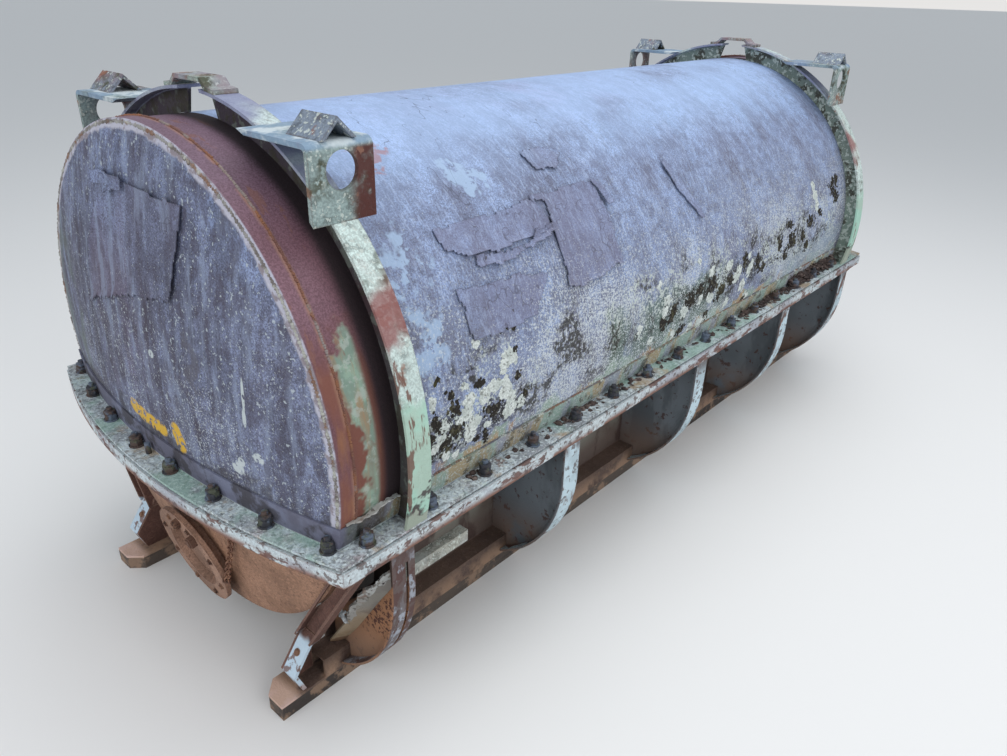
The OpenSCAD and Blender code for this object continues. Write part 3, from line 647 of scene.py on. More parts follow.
# %% Flange, gasket and lip finishes
f = frame_paint("flange_top", (0.48, 0.55, 0.59), 0.5, 0.64, 0.64, 0.5)
f.spots(
    None,
    (13, 0.54, 0.08, (0.19, 0.195, 0.22), 0.9, 0.65),
    (90, 0.57, 0.06, (0.09, 0.09, 0.09), 0.9, 0.6),
    # Painted glints: fine pale specks over the flange's top.
    (150, 0.58, 0.06, (0.66, 0.74, 0.76), 0.85, 0.7),
    (7, 0.54, 0.07, (0.25, 0.41, 0.34), 0.85, 0.6),
    (10, 0.6, 0.05, (0.36, 0.25, 0.14), 0.85, 0.65),
)
leg = f.ramp(Z, 0.4925, 0.4955)
leg_at_end = f.both(leg, f.ramp(X, 1.195, 1.21, True))
f.lay(leg, (0.25, 0.34, 0.29), 0.75, share=0.9)
f.spots(
    leg,
    (9, 0.5, 0.06, (0.36, 0.25, 0.13), 0.8, 0.75, (1.6, 0.6, 0.6)),
    (7, 0.55, 0.05, (0.26, 0.28, 0.36), 0.8, 0.8, (1.6, 0.6, 0.6)),
    (30, 0.57, 0.05, (0.08, 0.075, 0.06), 0.85, 0.8),
    (200, 0.58, 0.04, (0.5, 0.55, 0.55), 0.85, 0.7),
)
f.lay(f.both(leg, f.ramp(X, 1.095, 1.115, True)), (0.05, 0.042, 0.044), 0.85, share=0.75)
f.lay(leg_at_end, (0.115, 0.115, 0.165), 0.75, share=0.93)
f.spots(
    leg_at_end,
    (9, 0.52, 0.08, (0.175, 0.19, 0.27), 0.75, 0.8),
    (14, 0.55, 0.05, (0.045, 0.04, 0.045), 0.85, 0.8),
)
f.lay(f.both(f.ramp(Z, 0.4955, 0.4935), leg), (0.6, 0.66, 0.68), 0.7, share=0.85)
dress(f, "upper_flange")

f = spotted(
    "old_gasket", (0.022, 0.021, 0.02), 0.85, 90, 0.8,
    (30, 0.53, 0.05, (0.09, 0.075, 0.055), 0.9, 0.8),
    (18, 0.58, 0.03, (0.25, 0.27, 0.24), 0.9, 0.7),
)
dress(f, "gasket")

f = spotted(
    "lip_pale_blue", (0.56, 0.64, 0.67), 0.6, 150, 0.45,
    (9, 0.5, 0.08, (0.62, 0.68, 0.7), 0.65, 0.8),
    (7, 0.55, 0.06, (0.36, 0.36, 0.42), 0.65, 0.7),
    (230, 0.5, 0.14, (0.2, 0.21, 0.23), None, 0.4),
)
f.spots(f.ramp(Z, 0.468, 0.45), (14, 0.48, 0.03, (0.22, 0.115, 0.085), 0.85, 1, (0.5, 0.5, 1), -0.5))
f.spots(
    None,
    (20, 0.585, 0.02, (0.15, 0.075, 0.062), 0.85, 0.9, (0.6, 0.6, 1.4), -0.5),
    (70, 0.59, 0.03, (0.12, 0.085, 0.08), 0.8, 0.8),
)
f.lay(f.edges(0.004, 0.47), (0.16, 0.085, 0.065), 0.85, share=0.85)
dress(f, "lower_flange")

f = frame_paint("bay_angle_tan", (0.31, 0.31, 0.27), 0.5, 0.6, 0.66, 0.47)
f.spots(None, (9, 0.5, 0.08, (0.42, 0.44, 0.42), 0.75, 0.7))
dress(f, "bay_angle")

# %% [markdown]
# The lower half is sheltered, so its grey-green coat is mostly whole, and sand is splashed up
# on it. The near lower head has lost its paint: it is sandy orange primer, scratched, with
# darker runs under the flange. The port and its cover share that finish.

# %% Lower half finishes
f = spotted(
    "lower_grey_green", (0.19, 0.215, 0.2), 0.6, 120, 0.35,
    (4, 0.5, 0.12, (0.27, 0.3, 0.28), None, 0.8),
    (7, 0.54, 0.08, (0.13, 0.1, 0.085), 0.75, 0.75, (1, 1, 0.3)),
)
f.spots(f.ramp(Z, 0.3, 0.12), (6, 0.42, 0.08, (0.28, 0.18, 0.125), 0.85, 0.8))
f.spots(None, (60, 0.58, 0.04, (0.08, 0.06, 0.05), 0.8, 0.6))
# Painted shade: a near-black wedge on the near end of the lower shell, under the flange's lip by the first rib.
f.lay(f.zone((-2, -2, 0.3), (-1.062, -0.3, 0.5), 0.02), (0.014, 0.012, 0.012), 0.9, share=0.95)
dress(f, "lower_shell", "lower_head_far")


def sandy_primer(name, base, dark=0.56):
    """Sandy orange primer with scratches, dark rust spots and runs."""
    f = spotted(
        name, base, 0.72, 130, 0.45,
        (4, 0.48, 0.12, tint(base, 1.3), None, 0.8),
        (6, 0.54, 0.08, tint(base, 0.6), 0.8, 0.7, (1, 1, 0.35)),
        (230, 0.5, 0.14, tint(base, 0.45), None, 0.45),
        (18, dark, 0.08, tint(base, 0.6), 0.85, 0.5),
        (90, 0.62, 0.04, DARK_RUST, 0.85, 0.4),
    )
    f.lay(f.creases(9, 0.004, (1, 1, 1.4)), tint(base, 1.7), 0.7, share=0.6)
    f.spots(None, (110, 0.62, 0.05, tint(base, 1.7), 0.8, 0.25))
    f.lay(f.edges(0.004, 0.5), (0.09, 0.05, 0.04), 0.85, share=0.8)
    return f


f = sandy_primer("sandy_head", (0.3, 0.165, 0.105))
f.spots(f.ramp(Z, 0.4, 0.46), (8, 0.45, 0.07, (0.12, 0.065, 0.045), 0.85, 0.8))
dress(f, "lower_head_near")
dress(sandy_primer("port_orange", (0.31, 0.18, 0.125)), "port_neck", "port_cover")

# %% [markdown]
# The ribs' webs are dark blue-grey in the shade of the flange, and their caps are pale blue
# and chipped along both edges. The first rib on the near right is the damaged one: its web
# has turned to orange-brown rust with dark spots, and above a sloping line under the flange's
# lip it is painted near-black, as painted shade of the dark gap behind the lip.

# %% Rib finishes
LIP_GAP_SHADE_SLOPE = 0.915


def rib_paint(name, web_colour, cap_colour, cap_rust, torn=False):
    f = spotted(
        name, web_colour, 0.65, 130, 0.4,
        (5, 0.52, 0.12, tint(web_colour, 1.35), None, 0.8),
        (8, 0.58, 0.06, tint(web_colour, 0.6), 0.8, 0.7, (1, 1, 0.4)),
        (40, 0.62, 0.03, DARK_RUST, 0.85, 0.8),
    )
    f.spots(f.ramp(Z, 0.24, 0.08), (7, 0.42, 0.08, (0.22, 0.14, 0.1), 0.85, 0.75))
    chip_scale, chip_colour = 15, (0.18, 0.1, 0.08)
    if torn:
        chip_scale, chip_colour = 24, (0.1, 0.055, 0.05)
        below_lip = f.zone((-2, -0.6, 0.17), (2, -0.4, 0.33), 0.03)
        f.spots(below_lip, (105, 0.545, 0.03, (0.055, 0.018, 0.016), 0.8, 0.9))
        # Painted shade: near-black above this sloping line, for the dark gap under the flange's lip.
        lip_gap_shade = f.math("ADD", f.axis(Z), f.math("MULTIPLY", f.axis(Y), LIP_GAP_SHADE_SLOPE))
        f.lay(f.smooth(lip_gap_shade, -0.136, -0.128), (0.012, 0.01, 0.01), 0.9, share=0.97)
    facing = f.add("ShaderNodeSeparateXYZ", {0: f.add("ShaderNodeNewGeometry", {}, "Normal")}, X)
    cap = f.smooth(f.math("ABSOLUTE", facing), 0.8, 0.4)
    f.lay(cap, cap_colour, 0.6)
    f.spots(
        cap,
        (10, 0.5, 0.08, tint(cap_colour, 1.4), 0.65, 0.8),
        (chip_scale, cap_rust, 0.03, chip_colour, 0.85, 1, (1, 1, 0.5), -0.4),
        (60, cap_rust + 0.01, 0.03, (0.12, 0.09, 0.085), 0.8, 0.8),
    )
    f.spots(f.both(cap, f.ramp(Z, 0.4, 0.44)), (9, 0.44, 0.08, (0.1, 0.065, 0.06), 0.8, 0.8))
    f.lay(f.edges(0.005, 0.45), (0.14, 0.08, 0.06), 0.85, share=0.85)
    return f


ribs = [f"rib_{side}_{n}" for side in ("right", "left") for n in range(1, 6)]
dress(rib_paint("rib_blue_grey", (0.135, 0.155, 0.175), (0.4, 0.5, 0.55), 0.57), *ribs)
dress(rib_paint("rib_rusted", (0.27, 0.13, 0.065), (0.25, 0.27, 0.31), 0.49, True), "rib_right_1")

# %% [markdown]
# The skids stand in wet sand: brown rust from end to end, with mud along the foot. The braces
# at the corners are dark rusty channels on a leg that still has pale blue paint. The rub rails
# are dark, and sand sticks to them. The chain is plain rusty wire.

# %% Skid, brace, rail and chain finishes
f = sandy_primer("skid_rust", (0.115, 0.075, 0.06), 0.54)
upright = f.both(f.ramp(Z, 0.088, 0.094), f.ramp(X, 1.14, 1.08, True), f.ramp(Y, 0.33, 0.326, True))
f.lay(upright, (0.115, 0.085, 0.072), 0.75, share=0.9)
f.spots(f.both(upright, f.ramp(Z, 0.12, 0.2)), (6, 0.44, 0.12, (0.2, 0.2, 0.17), 0.75, 0.8))
f.spots(upright, (9, 0.55, 0.05, (0.06, 0.035, 0.03), 0.8, 0.85, (1, 1, 0.5)))
f.spots(f.ramp(X, 1.235, 1.26, True), (9, 0.34, 0.08, (0.68, 0.48, 0.42), 0.8, 0.9))
f.spots(f.ramp(Z, 0.1, 0.035), (9, 0.46, 0.07, SAND, 0.95, 0.5))
# Painted shade: a near-black block on the near right skid, in the dark bay behind the first rib under the flange's
# lip.
f.lay(f.zone((-1.1, -0.4, 0.09), (-0.97, -0.2, 0.4), 0.02), (0.012, 0.01, 0.01), 0.9, share=0.96)
dress(f, "skid_right", "skid_left")

f = sandy_primer("brace_rust", (0.135, 0.065, 0.05), 0.54)
uneven = f.math("MULTIPLY", f.patches(9, 0.5, 0.1), 0.02)
leg = f.both(f.smooth(f.math("ADD", f.axis(Z), uneven), 0.176, 0.166), f.ramp(Y, 0.3255, 0.3275, True))
f.lay(f.edges(0.005, 0.44), (0.3, 0.19, 0.14), 0.8, share=0.8)
f.lay(leg, (0.52, 0.65, 0.76), 0.6, share=0.93)
f.spots(leg, (10, 0.6, 0.04, (0.36, 0.25, 0.21), 0.7, 0.85))
f.lay(f.both(leg, f.ramp(Z, 0.066, 0.05)), (0.34, 0.21, 0.17), 0.8, share=0.75)
f.spots(leg, (40, 0.59, 0.03, (0.16, 0.08, 0.06), 0.8, 0.85))
dress(f, *at_corners("brace"))

f = spotted(
    "rub_rail_dark", (0.05, 0.04, 0.036), 0.8, 80, 0.7,
    (9, 0.5, 0.06, (0.11, 0.085, 0.07), 0.85, 0.8, (0.15, 1, 1)),
    (20, 0.54, 0.05, SAND, 0.95, 0.4),
)
f.lay(f.edges(0.004, 0.45), (0.14, 0.1, 0.08), 0.85, share=0.8)
dress(f, "rub_rail_right", "rub_rail_left")

rows = [(60, 0.52, 0.05, (0.3, 0.16, 0.1), 0.8, 0.8)]
dress(spotted("chain_rust", (0.16, 0.075, 0.05), 0.75, 300, 0.5, *rows), "cover_chain")
print(len(bpy.data.materials), "finishes")

# %% [markdown]
# The added pieces are modelled in edit mode, as by hand. The helpers below keep that short: one
# adds a primitive, two edit a mesh, one gives a sheet its thickness and two join copies. Every
# finished object stays at the origin with its place in its mesh.

# %% Modelling helpers
def fresh():
    """Object mode with nothing selected, so that an operator acts on new work only."""
    if bpy.context.object and bpy.context.object.mode != "OBJECT":
        bpy.ops.object.mode_set(mode="OBJECT")
    bpy.ops.object.select_all(action="DESELECT")


def alone(piece):
    """Selects this object only, in object mode."""
    fresh()
    piece.select_set(True)
    bpy.context.view_layer.objects.active = piece


def primitive(kind, **settings):
    """A new primitive, alone and active."""
    fresh()
    getattr(bpy.ops.mesh, f"primitive_{kind}_add")(**settings)
    return bpy.context.object


def edit(operator, **settings):
    """Runs a mesh operator on what is selected in the active object."""
    bpy.ops.object.mode_set(mode="EDIT")
    operator(**settings)
    bpy.ops.object.mode_set(mode="OBJECT")


def edit_all(operator, **settings):
    bpy.ops.object.mode_set(mode="EDIT")
    bpy.ops.mesh.select_all(action="SELECT")
    operator(**settings)
    bpy.ops.object.mode_set(mode="OBJECT")


def edit_faces(piece, chosen, operator, **settings):
    """Runs a mesh operator on the faces that chosen picks, beside what is selected."""
    for face in piece.data.polygons:
        face.select = chosen(face)
    edit(operator, **settings)


def chamfer(width, segments=1):
    """Bevels every edge of the active object."""
    edit_all(bpy.ops.mesh.bevel, offset=width, segments=segments, affect="EDGES")


def thickened(sheet, thick, offset=0):
    """Gives the active sheet its thickness."""
    wall = sheet.modifiers.new("thickness", "SOLIDIFY")
    wall.thickness = thick
    wall.offset = offset
    bpy.ops.object.modifier_apply(modifier=wall.name)
    return sheet


def joined(parts):
    """Joins objects into the first and applies its place."""
    alone(parts[0])
    for part in parts:
        part.select_set(True)
    if len(parts) > 1:
        bpy.ops.object.join()
    bpy.ops.object.transform_apply(location=True, rotation=True, scale=True)
    return bpy.context.object


def copies(model, matrices):
    """One mesh copy of the model at each matrix, joined; the model is removed."""
    made = []
    for matrix in matrices:
        twin = model.copy()
        twin.data = model.data.copy()
        twin.data.transform(matrix)
        bpy.context.scene.collection.objects.link(twin)
        made.append(twin)
    bpy.data.objects.remove(model)
    return joined(made)


def finished(piece, name, material, angle=35):
    """Names, smooths and dresses a piece, and lets it ride on the body."""
    alone(piece)
    piece.name = name
    piece.data.name = name
    edit_all(bpy.ops.mesh.normals_make_consistent, inside=False)
    bpy.ops.object.shade_smooth_by_angle(angle=math.radians(angle))
    piece.data.materials.clear()
    piece.data.materials.append(material)
    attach(piece, "root")
    print(f"{name}: {sum(len(p.vertices) - 2 for p in piece.data.polygons)} triangles")


# %% [markdown]
# The flange is held by a row of nuts on studs, each on a thick washer. All are dark brown with
# old rust, and a little moss sits on some. One stack is modelled from four primitives, then
# copied along both sides and round both bowed ends with a random turn.

# %% Finish of the nuts
nut_finish = spotted(
    "nut_dark_rust", (0.036, 0.037, 0.046), 0.7, 260, 0.5,
    (40, 0.53, 0.06, (0.1, 0.065, 0.052), 0.8, 0.8),
    (28, 0.53, 0.05, (0.12, 0.155, 0.215), 0.7, 0.8),
    (60, 0.58, 0.04, (0.1, 0.11, 0.07), 0.9, 0.7),
).done()

# %% One nut stack
SEAT_Z = 0.49
SECOND_NUT_TURN = Matrix.Rotation(0.45, 4, "Z")
LEAN = 0.02
FULL_TURN = 6.28


def rod(name, sides, radius, low, high, width, segments=1):
    """An upright prism from z low to z high, with its edges chamfered."""
    middle = (0, 0, (low + high) / 2)
    made = primitive("cylinder", vertices=sides, radius=radius, depth=high - low, location=middle)
    made.name = name
    chamfer(width, segments)
    return made


def nut_stack():
    parts = [
        rod("washer", 20, 0.016, 0, 0.0034, 0.0008),
        rod("nut", 6, 0.014, 0.0034, 0.0165, 0.0013, 2),
        rod("second_nut", 6, 0.0134, 0.017, 0.024, 0.0011, 2),
        rod("stud", 12, 0.0066, 0.024, 0.032, 0.0014, 2),
    ]
    parts[2].data.transform(SECOND_NUT_TURN)
    return joined(parts)


def seated(x, y):
    """A matrix on the flange at this place, with a random turn and a slight lean."""
    lean = Matrix.Rotation(random.uniform(-LEAN, LEAN), 4, "X")
    spin = Matrix.Rotation(random.uniform(0, FULL_TURN), 4, "Z")
    return Matrix.Translation((x, y, SEAT_Z)) @ spin @ lean


# %% Rows of nuts
SIDE_NUT_Y, NUT_PITCH, FIRST_NUT_X, SIDE_NUTS = 0.5365, 0.154, -1.166, 16
BOW_CENTRE_X, BOW_NUT_R = 0.5622, 1.8572
END_NUT_Y = (0.072, 0.217, 0.361, 0.502)
SIDES, ENDS = (("right", -1), ("left", 1)), (("near", -1), ("far", 1))
for side, sign in SIDES:
    row = [seated(FIRST_NUT_X + NUT_PITCH * n, sign * SIDE_NUT_Y) for n in range(SIDE_NUTS)]
    finished(copies(nut_stack(), row), f"nuts_{side}", nut_finish)
for end, sign in ENDS:
    row = []
    for y in (*END_NUT_Y, *(-v for v in END_NUT_Y)):
        row.append(seated(sign * (math.sqrt(BOW_NUT_R**2 - y * y) - BOW_CENTRE_X), y))
    finished(copies(nut_stack(), row), f"nuts_{end}", nut_finish)

# %% [markdown]
# Weld beads are rows of overlapping ripples. One ripple, a squashed sphere, is copied along
# each seam: the rims of the heads, the seams of the skirts, and the lap of the flange on the
# barrel.

# %% Finish of the welds
weld_finish = spotted(
    "weld_bead", (0.27, 0.26, 0.25), 0.8, 200, 0.5,
    (16, 0.5, 0.06, (0.13, 0.11, 0.1), 0.85, 0.85),
    (30, 0.54, 0.05, (0.42, 0.42, 0.38), 0.85, 0.85, EVEN, 0.2),
    (20, 0.57, 0.04, (0.2, 0.1, 0.06), 0.85, 0.8),
).done()
barrel_weld_finish = spotted(
    "weld_on_barrel", (0.15, 0.15, 0.17), 0.8, 200, 0.5,
    (12, 0.5, 0.06, (0.22, 0.25, 0.2), 0.85, 0.85),
    (26, 0.54, 0.05, (0.24, 0.13, 0.085), 0.85, 0.8),
    (35, 0.57, 0.04, LICHEN, 0.85, 0.8),
).done()
seam_weld_finish = spotted(
    "weld_rusty_seam", (0.16, 0.075, 0.06), 0.8, 200, 0.5,
    (10, 0.5, 0.06, (0.27, 0.12, 0.06), 0.85, 0.85),
    (14, 0.54, 0.05, (0.28, 0.25, 0.24), 0.85, 0.8),
).done()

# %% Weld beads
WANDER, RIPPLE_LENGTH = 0.0007, 0.9
SHELL_R = 0.526
LAP_Z, LAP_ANGLE, LAP_END_X = 0.5405, 99.4, 1.05


def bead(points, radius, spacing):
    """Ripples along a line of points, each turned along the line."""
    ripple = primitive("uv_sphere", segments=7, ring_count=4, radius=radius)
    matrices = []
    for a, b in zip(points, points[1:]):
        steps = max(1, round((b - a).length / spacing))
        turn = (b - a).to_track_quat("X", "Z").to_matrix().to_4x4()
        for n in range(steps):
            spot = a.lerp(b, n / steps) + Vector([random.uniform(-WANDER, WANDER) for _ in range(3)])
            size = random.uniform(0.8, 1.15)
            matrices.append(Matrix.Translation(spot) @ turn @ Matrix.Diagonal((RIPPLE_LENGTH, size, size, 1)))
    return copies(ripple, matrices)


def arc(x, radius, steps):
    """Points over the crown from lap to lap, round the barrel's axis."""
    turns = [math.radians(LAP_ANGLE * (2 * n / steps - 1)) for n in range(steps + 1)]
    return [Vector((x, radius * math.sin(t), AXIS_Z + radius * math.cos(t))) for t in turns]


for end, sign in ENDS:
    rim_bead = bead(arc(sign * 1.2115, 0.5235, 60), 0.0048, 0.006)
    finished(rim_bead, f"rim_weld_{end}", weld_finish)
    seam_bead = bead(arc(sign * SEAM_X, 0.5305, 90), 0.003, 0.0045)
    finished(seam_bead, f"skirt_weld_{end}", seam_weld_finish)
lap_y = math.sqrt(SHELL_R**2 - (LAP_Z - AXIS_Z) ** 2) + MM
for side, sign in SIDES:
    line = [Vector((x, sign * lap_y, LAP_Z)) for x in (-LAP_END_X, LAP_END_X)]
    finished(bead(line, 0.0034, 0.006), f"lap_weld_{side}", barrel_weld_finish)

# %% [markdown]
# A thick film of old coating has come loose on the barrel's side and on the near head. It lies
# in torn sheets whose edges curl up a few millimetres and throw thin shadows. Each sheet is
# modelled flat, as a grid cut to a ragged outline. Then its points are bent onto the surface
# that carries it, with wrinkles inside and a curl that grows towards the edge. It wears the
# same coat as the surface below, since it is the same paint, only more purple; on the barrel
# that coat includes the painted sky sheen of the crown. Its edges are also darkened: painted
# shade along the curl.

# %% Finishes of the loose film
f = Finish("side_film", (0.225, 0.27, 0.42), 0.62, 160, 0.4)
barrel_coat(f, 0.5)
f.spots(None, (4, 0.46, 0.14, (0.2, 0.2, 0.31), None, 0.4))
f.lay(f.creases(7, 0.006), (0.07, 0.065, 0.09), 0.85, share=0.6)
# Painted shade: the sheet's worn edges are darkened, for the thin shadow under its curled edges.
f.lay(f.edges(0.003, 0.36), (0.075, 0.07, 0.085), 0.85, share=0.85)
side_film_finish = f.done()
f = Finish("head_film", (0.115, 0.112, 0.165), 0.62, 150, 0.4)
head_coat(f)
f.spots(
    None,
    (3, 0.46, 0.14, (0.13, 0.1, 0.15), None, 0.5, (1, 1.4, 0.5)),
    (20, 0.57, 0.09, (0.27, 0.32, 0.44), 0.8, 0.45, (1, 1.8, 0.3)),
)
f.lay(f.creases(9, 0.006), (0.06, 0.05, 0.07), 0.85, share=0.6)
# Painted shade: the sheet's worn edges are darkened, for the thin shadow under its curled edges.
f.lay(f.edges(0.003, 0.36), (0.05, 0.045, 0.055), 0.85, share=0.85)
head_film_finish = f.done()

# %% Loose film sheets
NEAR_DISH_X, DISH_R = -1.28, 2.1018
FILM_THICK, FILM_MARGIN, FILM_LIFT, LEAST_LIFT = 0.0016, 0.02, 0.0014, 0.0012
CURL_REACH = 0.01
RAGGED_NOISE, RISE_NOISE, FOLD_NOISE_U, FOLD_NOISE_V = 22, 9, 17, 11


def on_barrel(u, v, lift):
    """u along the barrel, v the arc length down its right side from the crown."""
    turn = v / SHELL_R
    r = SHELL_R + lift
    return Vector((u, -r * math.sin(turn), AXIS_Z + r * math.cos(turn)))


def on_head(u, v, lift):
    """u across the near head, v its height."""
    spread = DISH_R**2 - u * u - (v - AXIS_Z) ** 2
    return Vector((NEAR_DISH_X + DISH_R - math.sqrt(spread) - lift, u, v))


def edge_gap(u, v, outline):
    """How far a point lies inside an outline, negative outside."""
    inside, gap = False, 9
    for (au, av), (bu, bv) in zip(outline, outline[1:] + outline[:1]):
        if (av > v) != (bv > v) and u < au + (v - av) / (bv - av) * (bu - au):
            inside = not inside
        along, there = Vector((bu - au, bv - av)), Vector((u - au, v - av))
        share = max(0, min(1, (there @ along) / along.length_squared))
        gap = min(gap, (there - share * along).length)
    return gap if inside else -gap


def film(name, carrier, curl, wrinkle, cell, ragged, seed, outline):
    """A torn sheet inside an outline in mm, bent onto the surface that carries it."""
    place, material, slot = carrier
    outline = [(u / 1000, v / 1000) for u, v in outline]
    us, vs = [p[0] for p in outline], [p[1] for p in outline]
    middle = Vector(((min(us) + max(us)) / 2, (min(vs) + max(vs)) / 2, 0))
    wide, high = max(us) - min(us) + FILM_MARGIN, max(vs) - min(vs) + FILM_MARGIN
    cells = {"x_subdivisions": round(wide / cell), "y_subdivisions": round(high / cell)}
    sheet = primitive("grid", size=1, location=middle, **cells)
    sheet.scale = (wide, high, 1)
    joined([sheet])

    def gap_at(spot):
        shake = noise.fractal(Vector((spot.x * RAGGED_NOISE, spot.y * RAGGED_NOISE, seed)), 1, 2, 3)
        return edge_gap(spot.x, spot.y, outline) + ragged * shake

    edit(bpy.ops.mesh.select_all, action="DESELECT")
    edit_faces(sheet, lambda face: gap_at(face.center) < 0, bpy.ops.mesh.delete, type="FACE")
    for vertex in sheet.data.vertices:
        u, v, _ = vertex.co
        gap = max(0, gap_at(vertex.co))
        rise = 0.5 + noise.noise(Vector((u * RISE_NOISE, v * RISE_NOISE, seed + 3)))
        fold = abs(noise.noise(Vector((u * FOLD_NOISE_U, v * FOLD_NOISE_V, seed + 7))))
        curled = curl * max(0, rise) * math.exp(-gap / CURL_REACH)
        vertex.co = place(u, v, max(LEAST_LIFT, FILM_LIFT + curled + wrinkle * (1 - 2.5 * fold)))
    finished(thickened(sheet, FILM_THICK), name, material, 50)


SIDE = (on_barrel, side_film_finish, "shell_paint")
HEAD = (on_head, head_film_finish, "head_paint")
FILMS = [
    ("film_side_upper", SIDE, 0.006, 0.0015, 0.005, 0.008, 0, [
        (-865, 452), (-654, 450), (-560, 440), (-552, 515),
        (-640, 520), (-745, 524), (-805, 520), (-858, 500),
    ]),
    ("film_side_right", SIDE, 0.006, 0.0015, 0.005, 0.008, 5, [
        (-651, 434), (-500, 436), (-356, 436), (-350, 500), (-352, 636),
        (-400, 645), (-505, 655), (-557, 640), (-552, 530), (-536, 452),
    ]),
    ("film_side_lower", SIDE, 0.003, 0.0015, 0.005, 0.008, 10, [
        (-872, 570), (-700, 585), (-610, 600), (-675, 672), (-760, 678), (-862, 672),
    ]),
    ("film_torn_strip", SIDE, 0.01, 0.004, 0.004, 0.01, 31, [
        (-790, 523), (-740, 535), (-650, 527), (-560, 500),
        (-548, 520), (-640, 542), (-730, 552), (-800, 540),
    ]),
    ("film_loose_flap", SIDE, 0.012, 0.003, 0.004, 0.006, 41, [
        (-362, 430), (-330, 452), (-318, 500), (-345, 505), (-352, 470),
    ]),
    ("film_crown_scab", SIDE, 0.007, 0.003, 0.004, 0.012, 51, [
        (-520, 330), (-440, 322), (-400, 350), (-440, 385), (-500, 380),
    ]),
    ("film_thin_mark", SIDE, 0.006, 0.002, 0.004, 0.006, 61, [
        (-55, 440), (-30, 435), (15, 520), (55, 610), (30, 600), (-20, 530),
    ]),
    ("film_head", HEAD, 0.007, 0.0012, 0.006, 0.004, 71, [
        (150, 1044), (10, 1052), (-60, 1048), (-185, 1046), (-180, 1000), (-150, 870),
        (20, 840), (150, 800), (225, 770), (180, 900), (130, 1000),
    ]),
    ("film_head_curl", HEAD, 0.016, 0.004, 0.004, 0.006, 81, [
        (150, 1050), (80, 1062), (5, 1060), (0, 1040), (60, 1030), (140, 1028),
    ]),
]
for sheet in FILMS:
    film(*sheet)

# %% [markdown]
# Low on the barrel grow pale rosettes of lichen and dark cushions of moss. The paint's masks
# colour the stain around them, and these small pieces give them body. A rosette is a ragged disc
# with a raised, crinkled rim, and a cushion is a lumpy flattened ball.

# %% Finishes of the growth
lichen_finish = spotted(
    "lichen_rosette", (0.6, 0.65, 0.62), 0.95, 260, 0.8,
    (50, 0.5, 0.06, (0.8, 0.84, 0.81), None, 0.8),
    (240, 0.5, 0.1, (0.38, 0.41, 0.38), None, 0.5),
    (110, 0.6, 0.05, (0.14, 0.15, 0.13), None, 0.7),
).done()
moss_finish = spotted(
    "moss_cushion", (0.024, 0.02, 0.016), 0.95, 260, 1,
    (14, 0.61, 0.05, (0.08, 0.074, 0.022), None, 0.7),
    (110, 0.58, 0.04, (0.15, 0.14, 0.1), None, 0.6),
).done()
litter_finish = spotted(
    "leaf_litter", (0.05, 0.036, 0.034), 0.9, 180, 0.8,
    (45, 0.5, 0.06, (0.085, 0.058, 0.052), None, 0.85),
    (70, 0.6, 0.04, (0.22, 0.17, 0.15), None, 0.8),
).done()


# %% Growth models
CUSHION_HEIGHT = 0.5
LOWEST_V, RING_X = 906, 1.035


def rosette():
    """A ragged disc, raised at the rim."""
    disc = primitive("circle", vertices=14, radius=1, fill_type="TRIFAN")
    edit_all(bpy.ops.mesh.subdivide, number_cuts=1)
    for vertex in disc.data.vertices:
        r = vertex.co.length
        if r > 0.01:
            vertex.co *= random.uniform(0.72, 1.1)
        vertex.co.z = 0.1 + 0.16 * r * random.uniform(0.4, 1.3) if r < 0.9 else 0
    return disc


def cushion():
    """A lumpy, flattened ball."""
    lump = primitive("ico_sphere", subdivisions=2, radius=1)
    for vertex in lump.data.vertices:
        vertex.co *= random.uniform(0.75, 1.15)
        vertex.co.z *= CUSHION_HEIGHT
    return lump


def standing(u, v, sign, size, squash):
    """A matrix that stands a growth on the barrel's right or left side at on_barrel's u and v."""
    foot = on_barrel(u, v, 0)
    out = Vector((0, foot.y, foot.z - AXIS_Z)).normalized()
    if sign > 0:
        foot.y, out.y = -foot.y, -out.y
    turn = out.to_track_quat("Z", "Y").to_matrix().to_4x4()
    spin = Matrix.Rotation(random.uniform(0, FULL_TURN), 4, "Z")
    shape = Matrix.Diagonal((size, size * random.uniform(0.7, 1), size * squash, 1))
    return Matrix.Translation(foot) @ turn @ spin @ shape


def lobes(bunches, per_area, stray):
    """Places of small lobes inside each bunch, given as u, v and radius in mm. Stray bends the bunch."""
    found = []
    for u, v, radius in bunches:
        lean, long = random.uniform(0, math.tau), 1 + stray * random.random()
        for _ in range(max(5, round(per_area * radius * radius / 100))):
            turn = random.uniform(0, math.tau)
            out = radius * math.sqrt(random.random()) * (1 + stray * random.gauss(0, 0.35))
            along, across = out * math.cos(turn) * long, out * math.sin(turn) / long
            spot_u = u + along * math.cos(lean) - across * math.sin(lean)
            spot_v = v + along * math.sin(lean) + across * math.cos(lean)
            found.append((spot_u * MM, min(LOWEST_V, spot_v) * MM))
    return found


def grown(name, make, variants, places, sign, sizes, squash, material):
    """Several variants of a growth, each at its share of the places, joined into one object."""
    parts = []
    for n in range(variants):
        mine = [(u, v) for u, v in places[n::variants] if abs(u) < RING_X]
        parts.append(copies(make(), [standing(u, v, sign, random.triangular(*sizes), squash) for u, v in mine]))
    finished(joined(parts), name, material, 60)


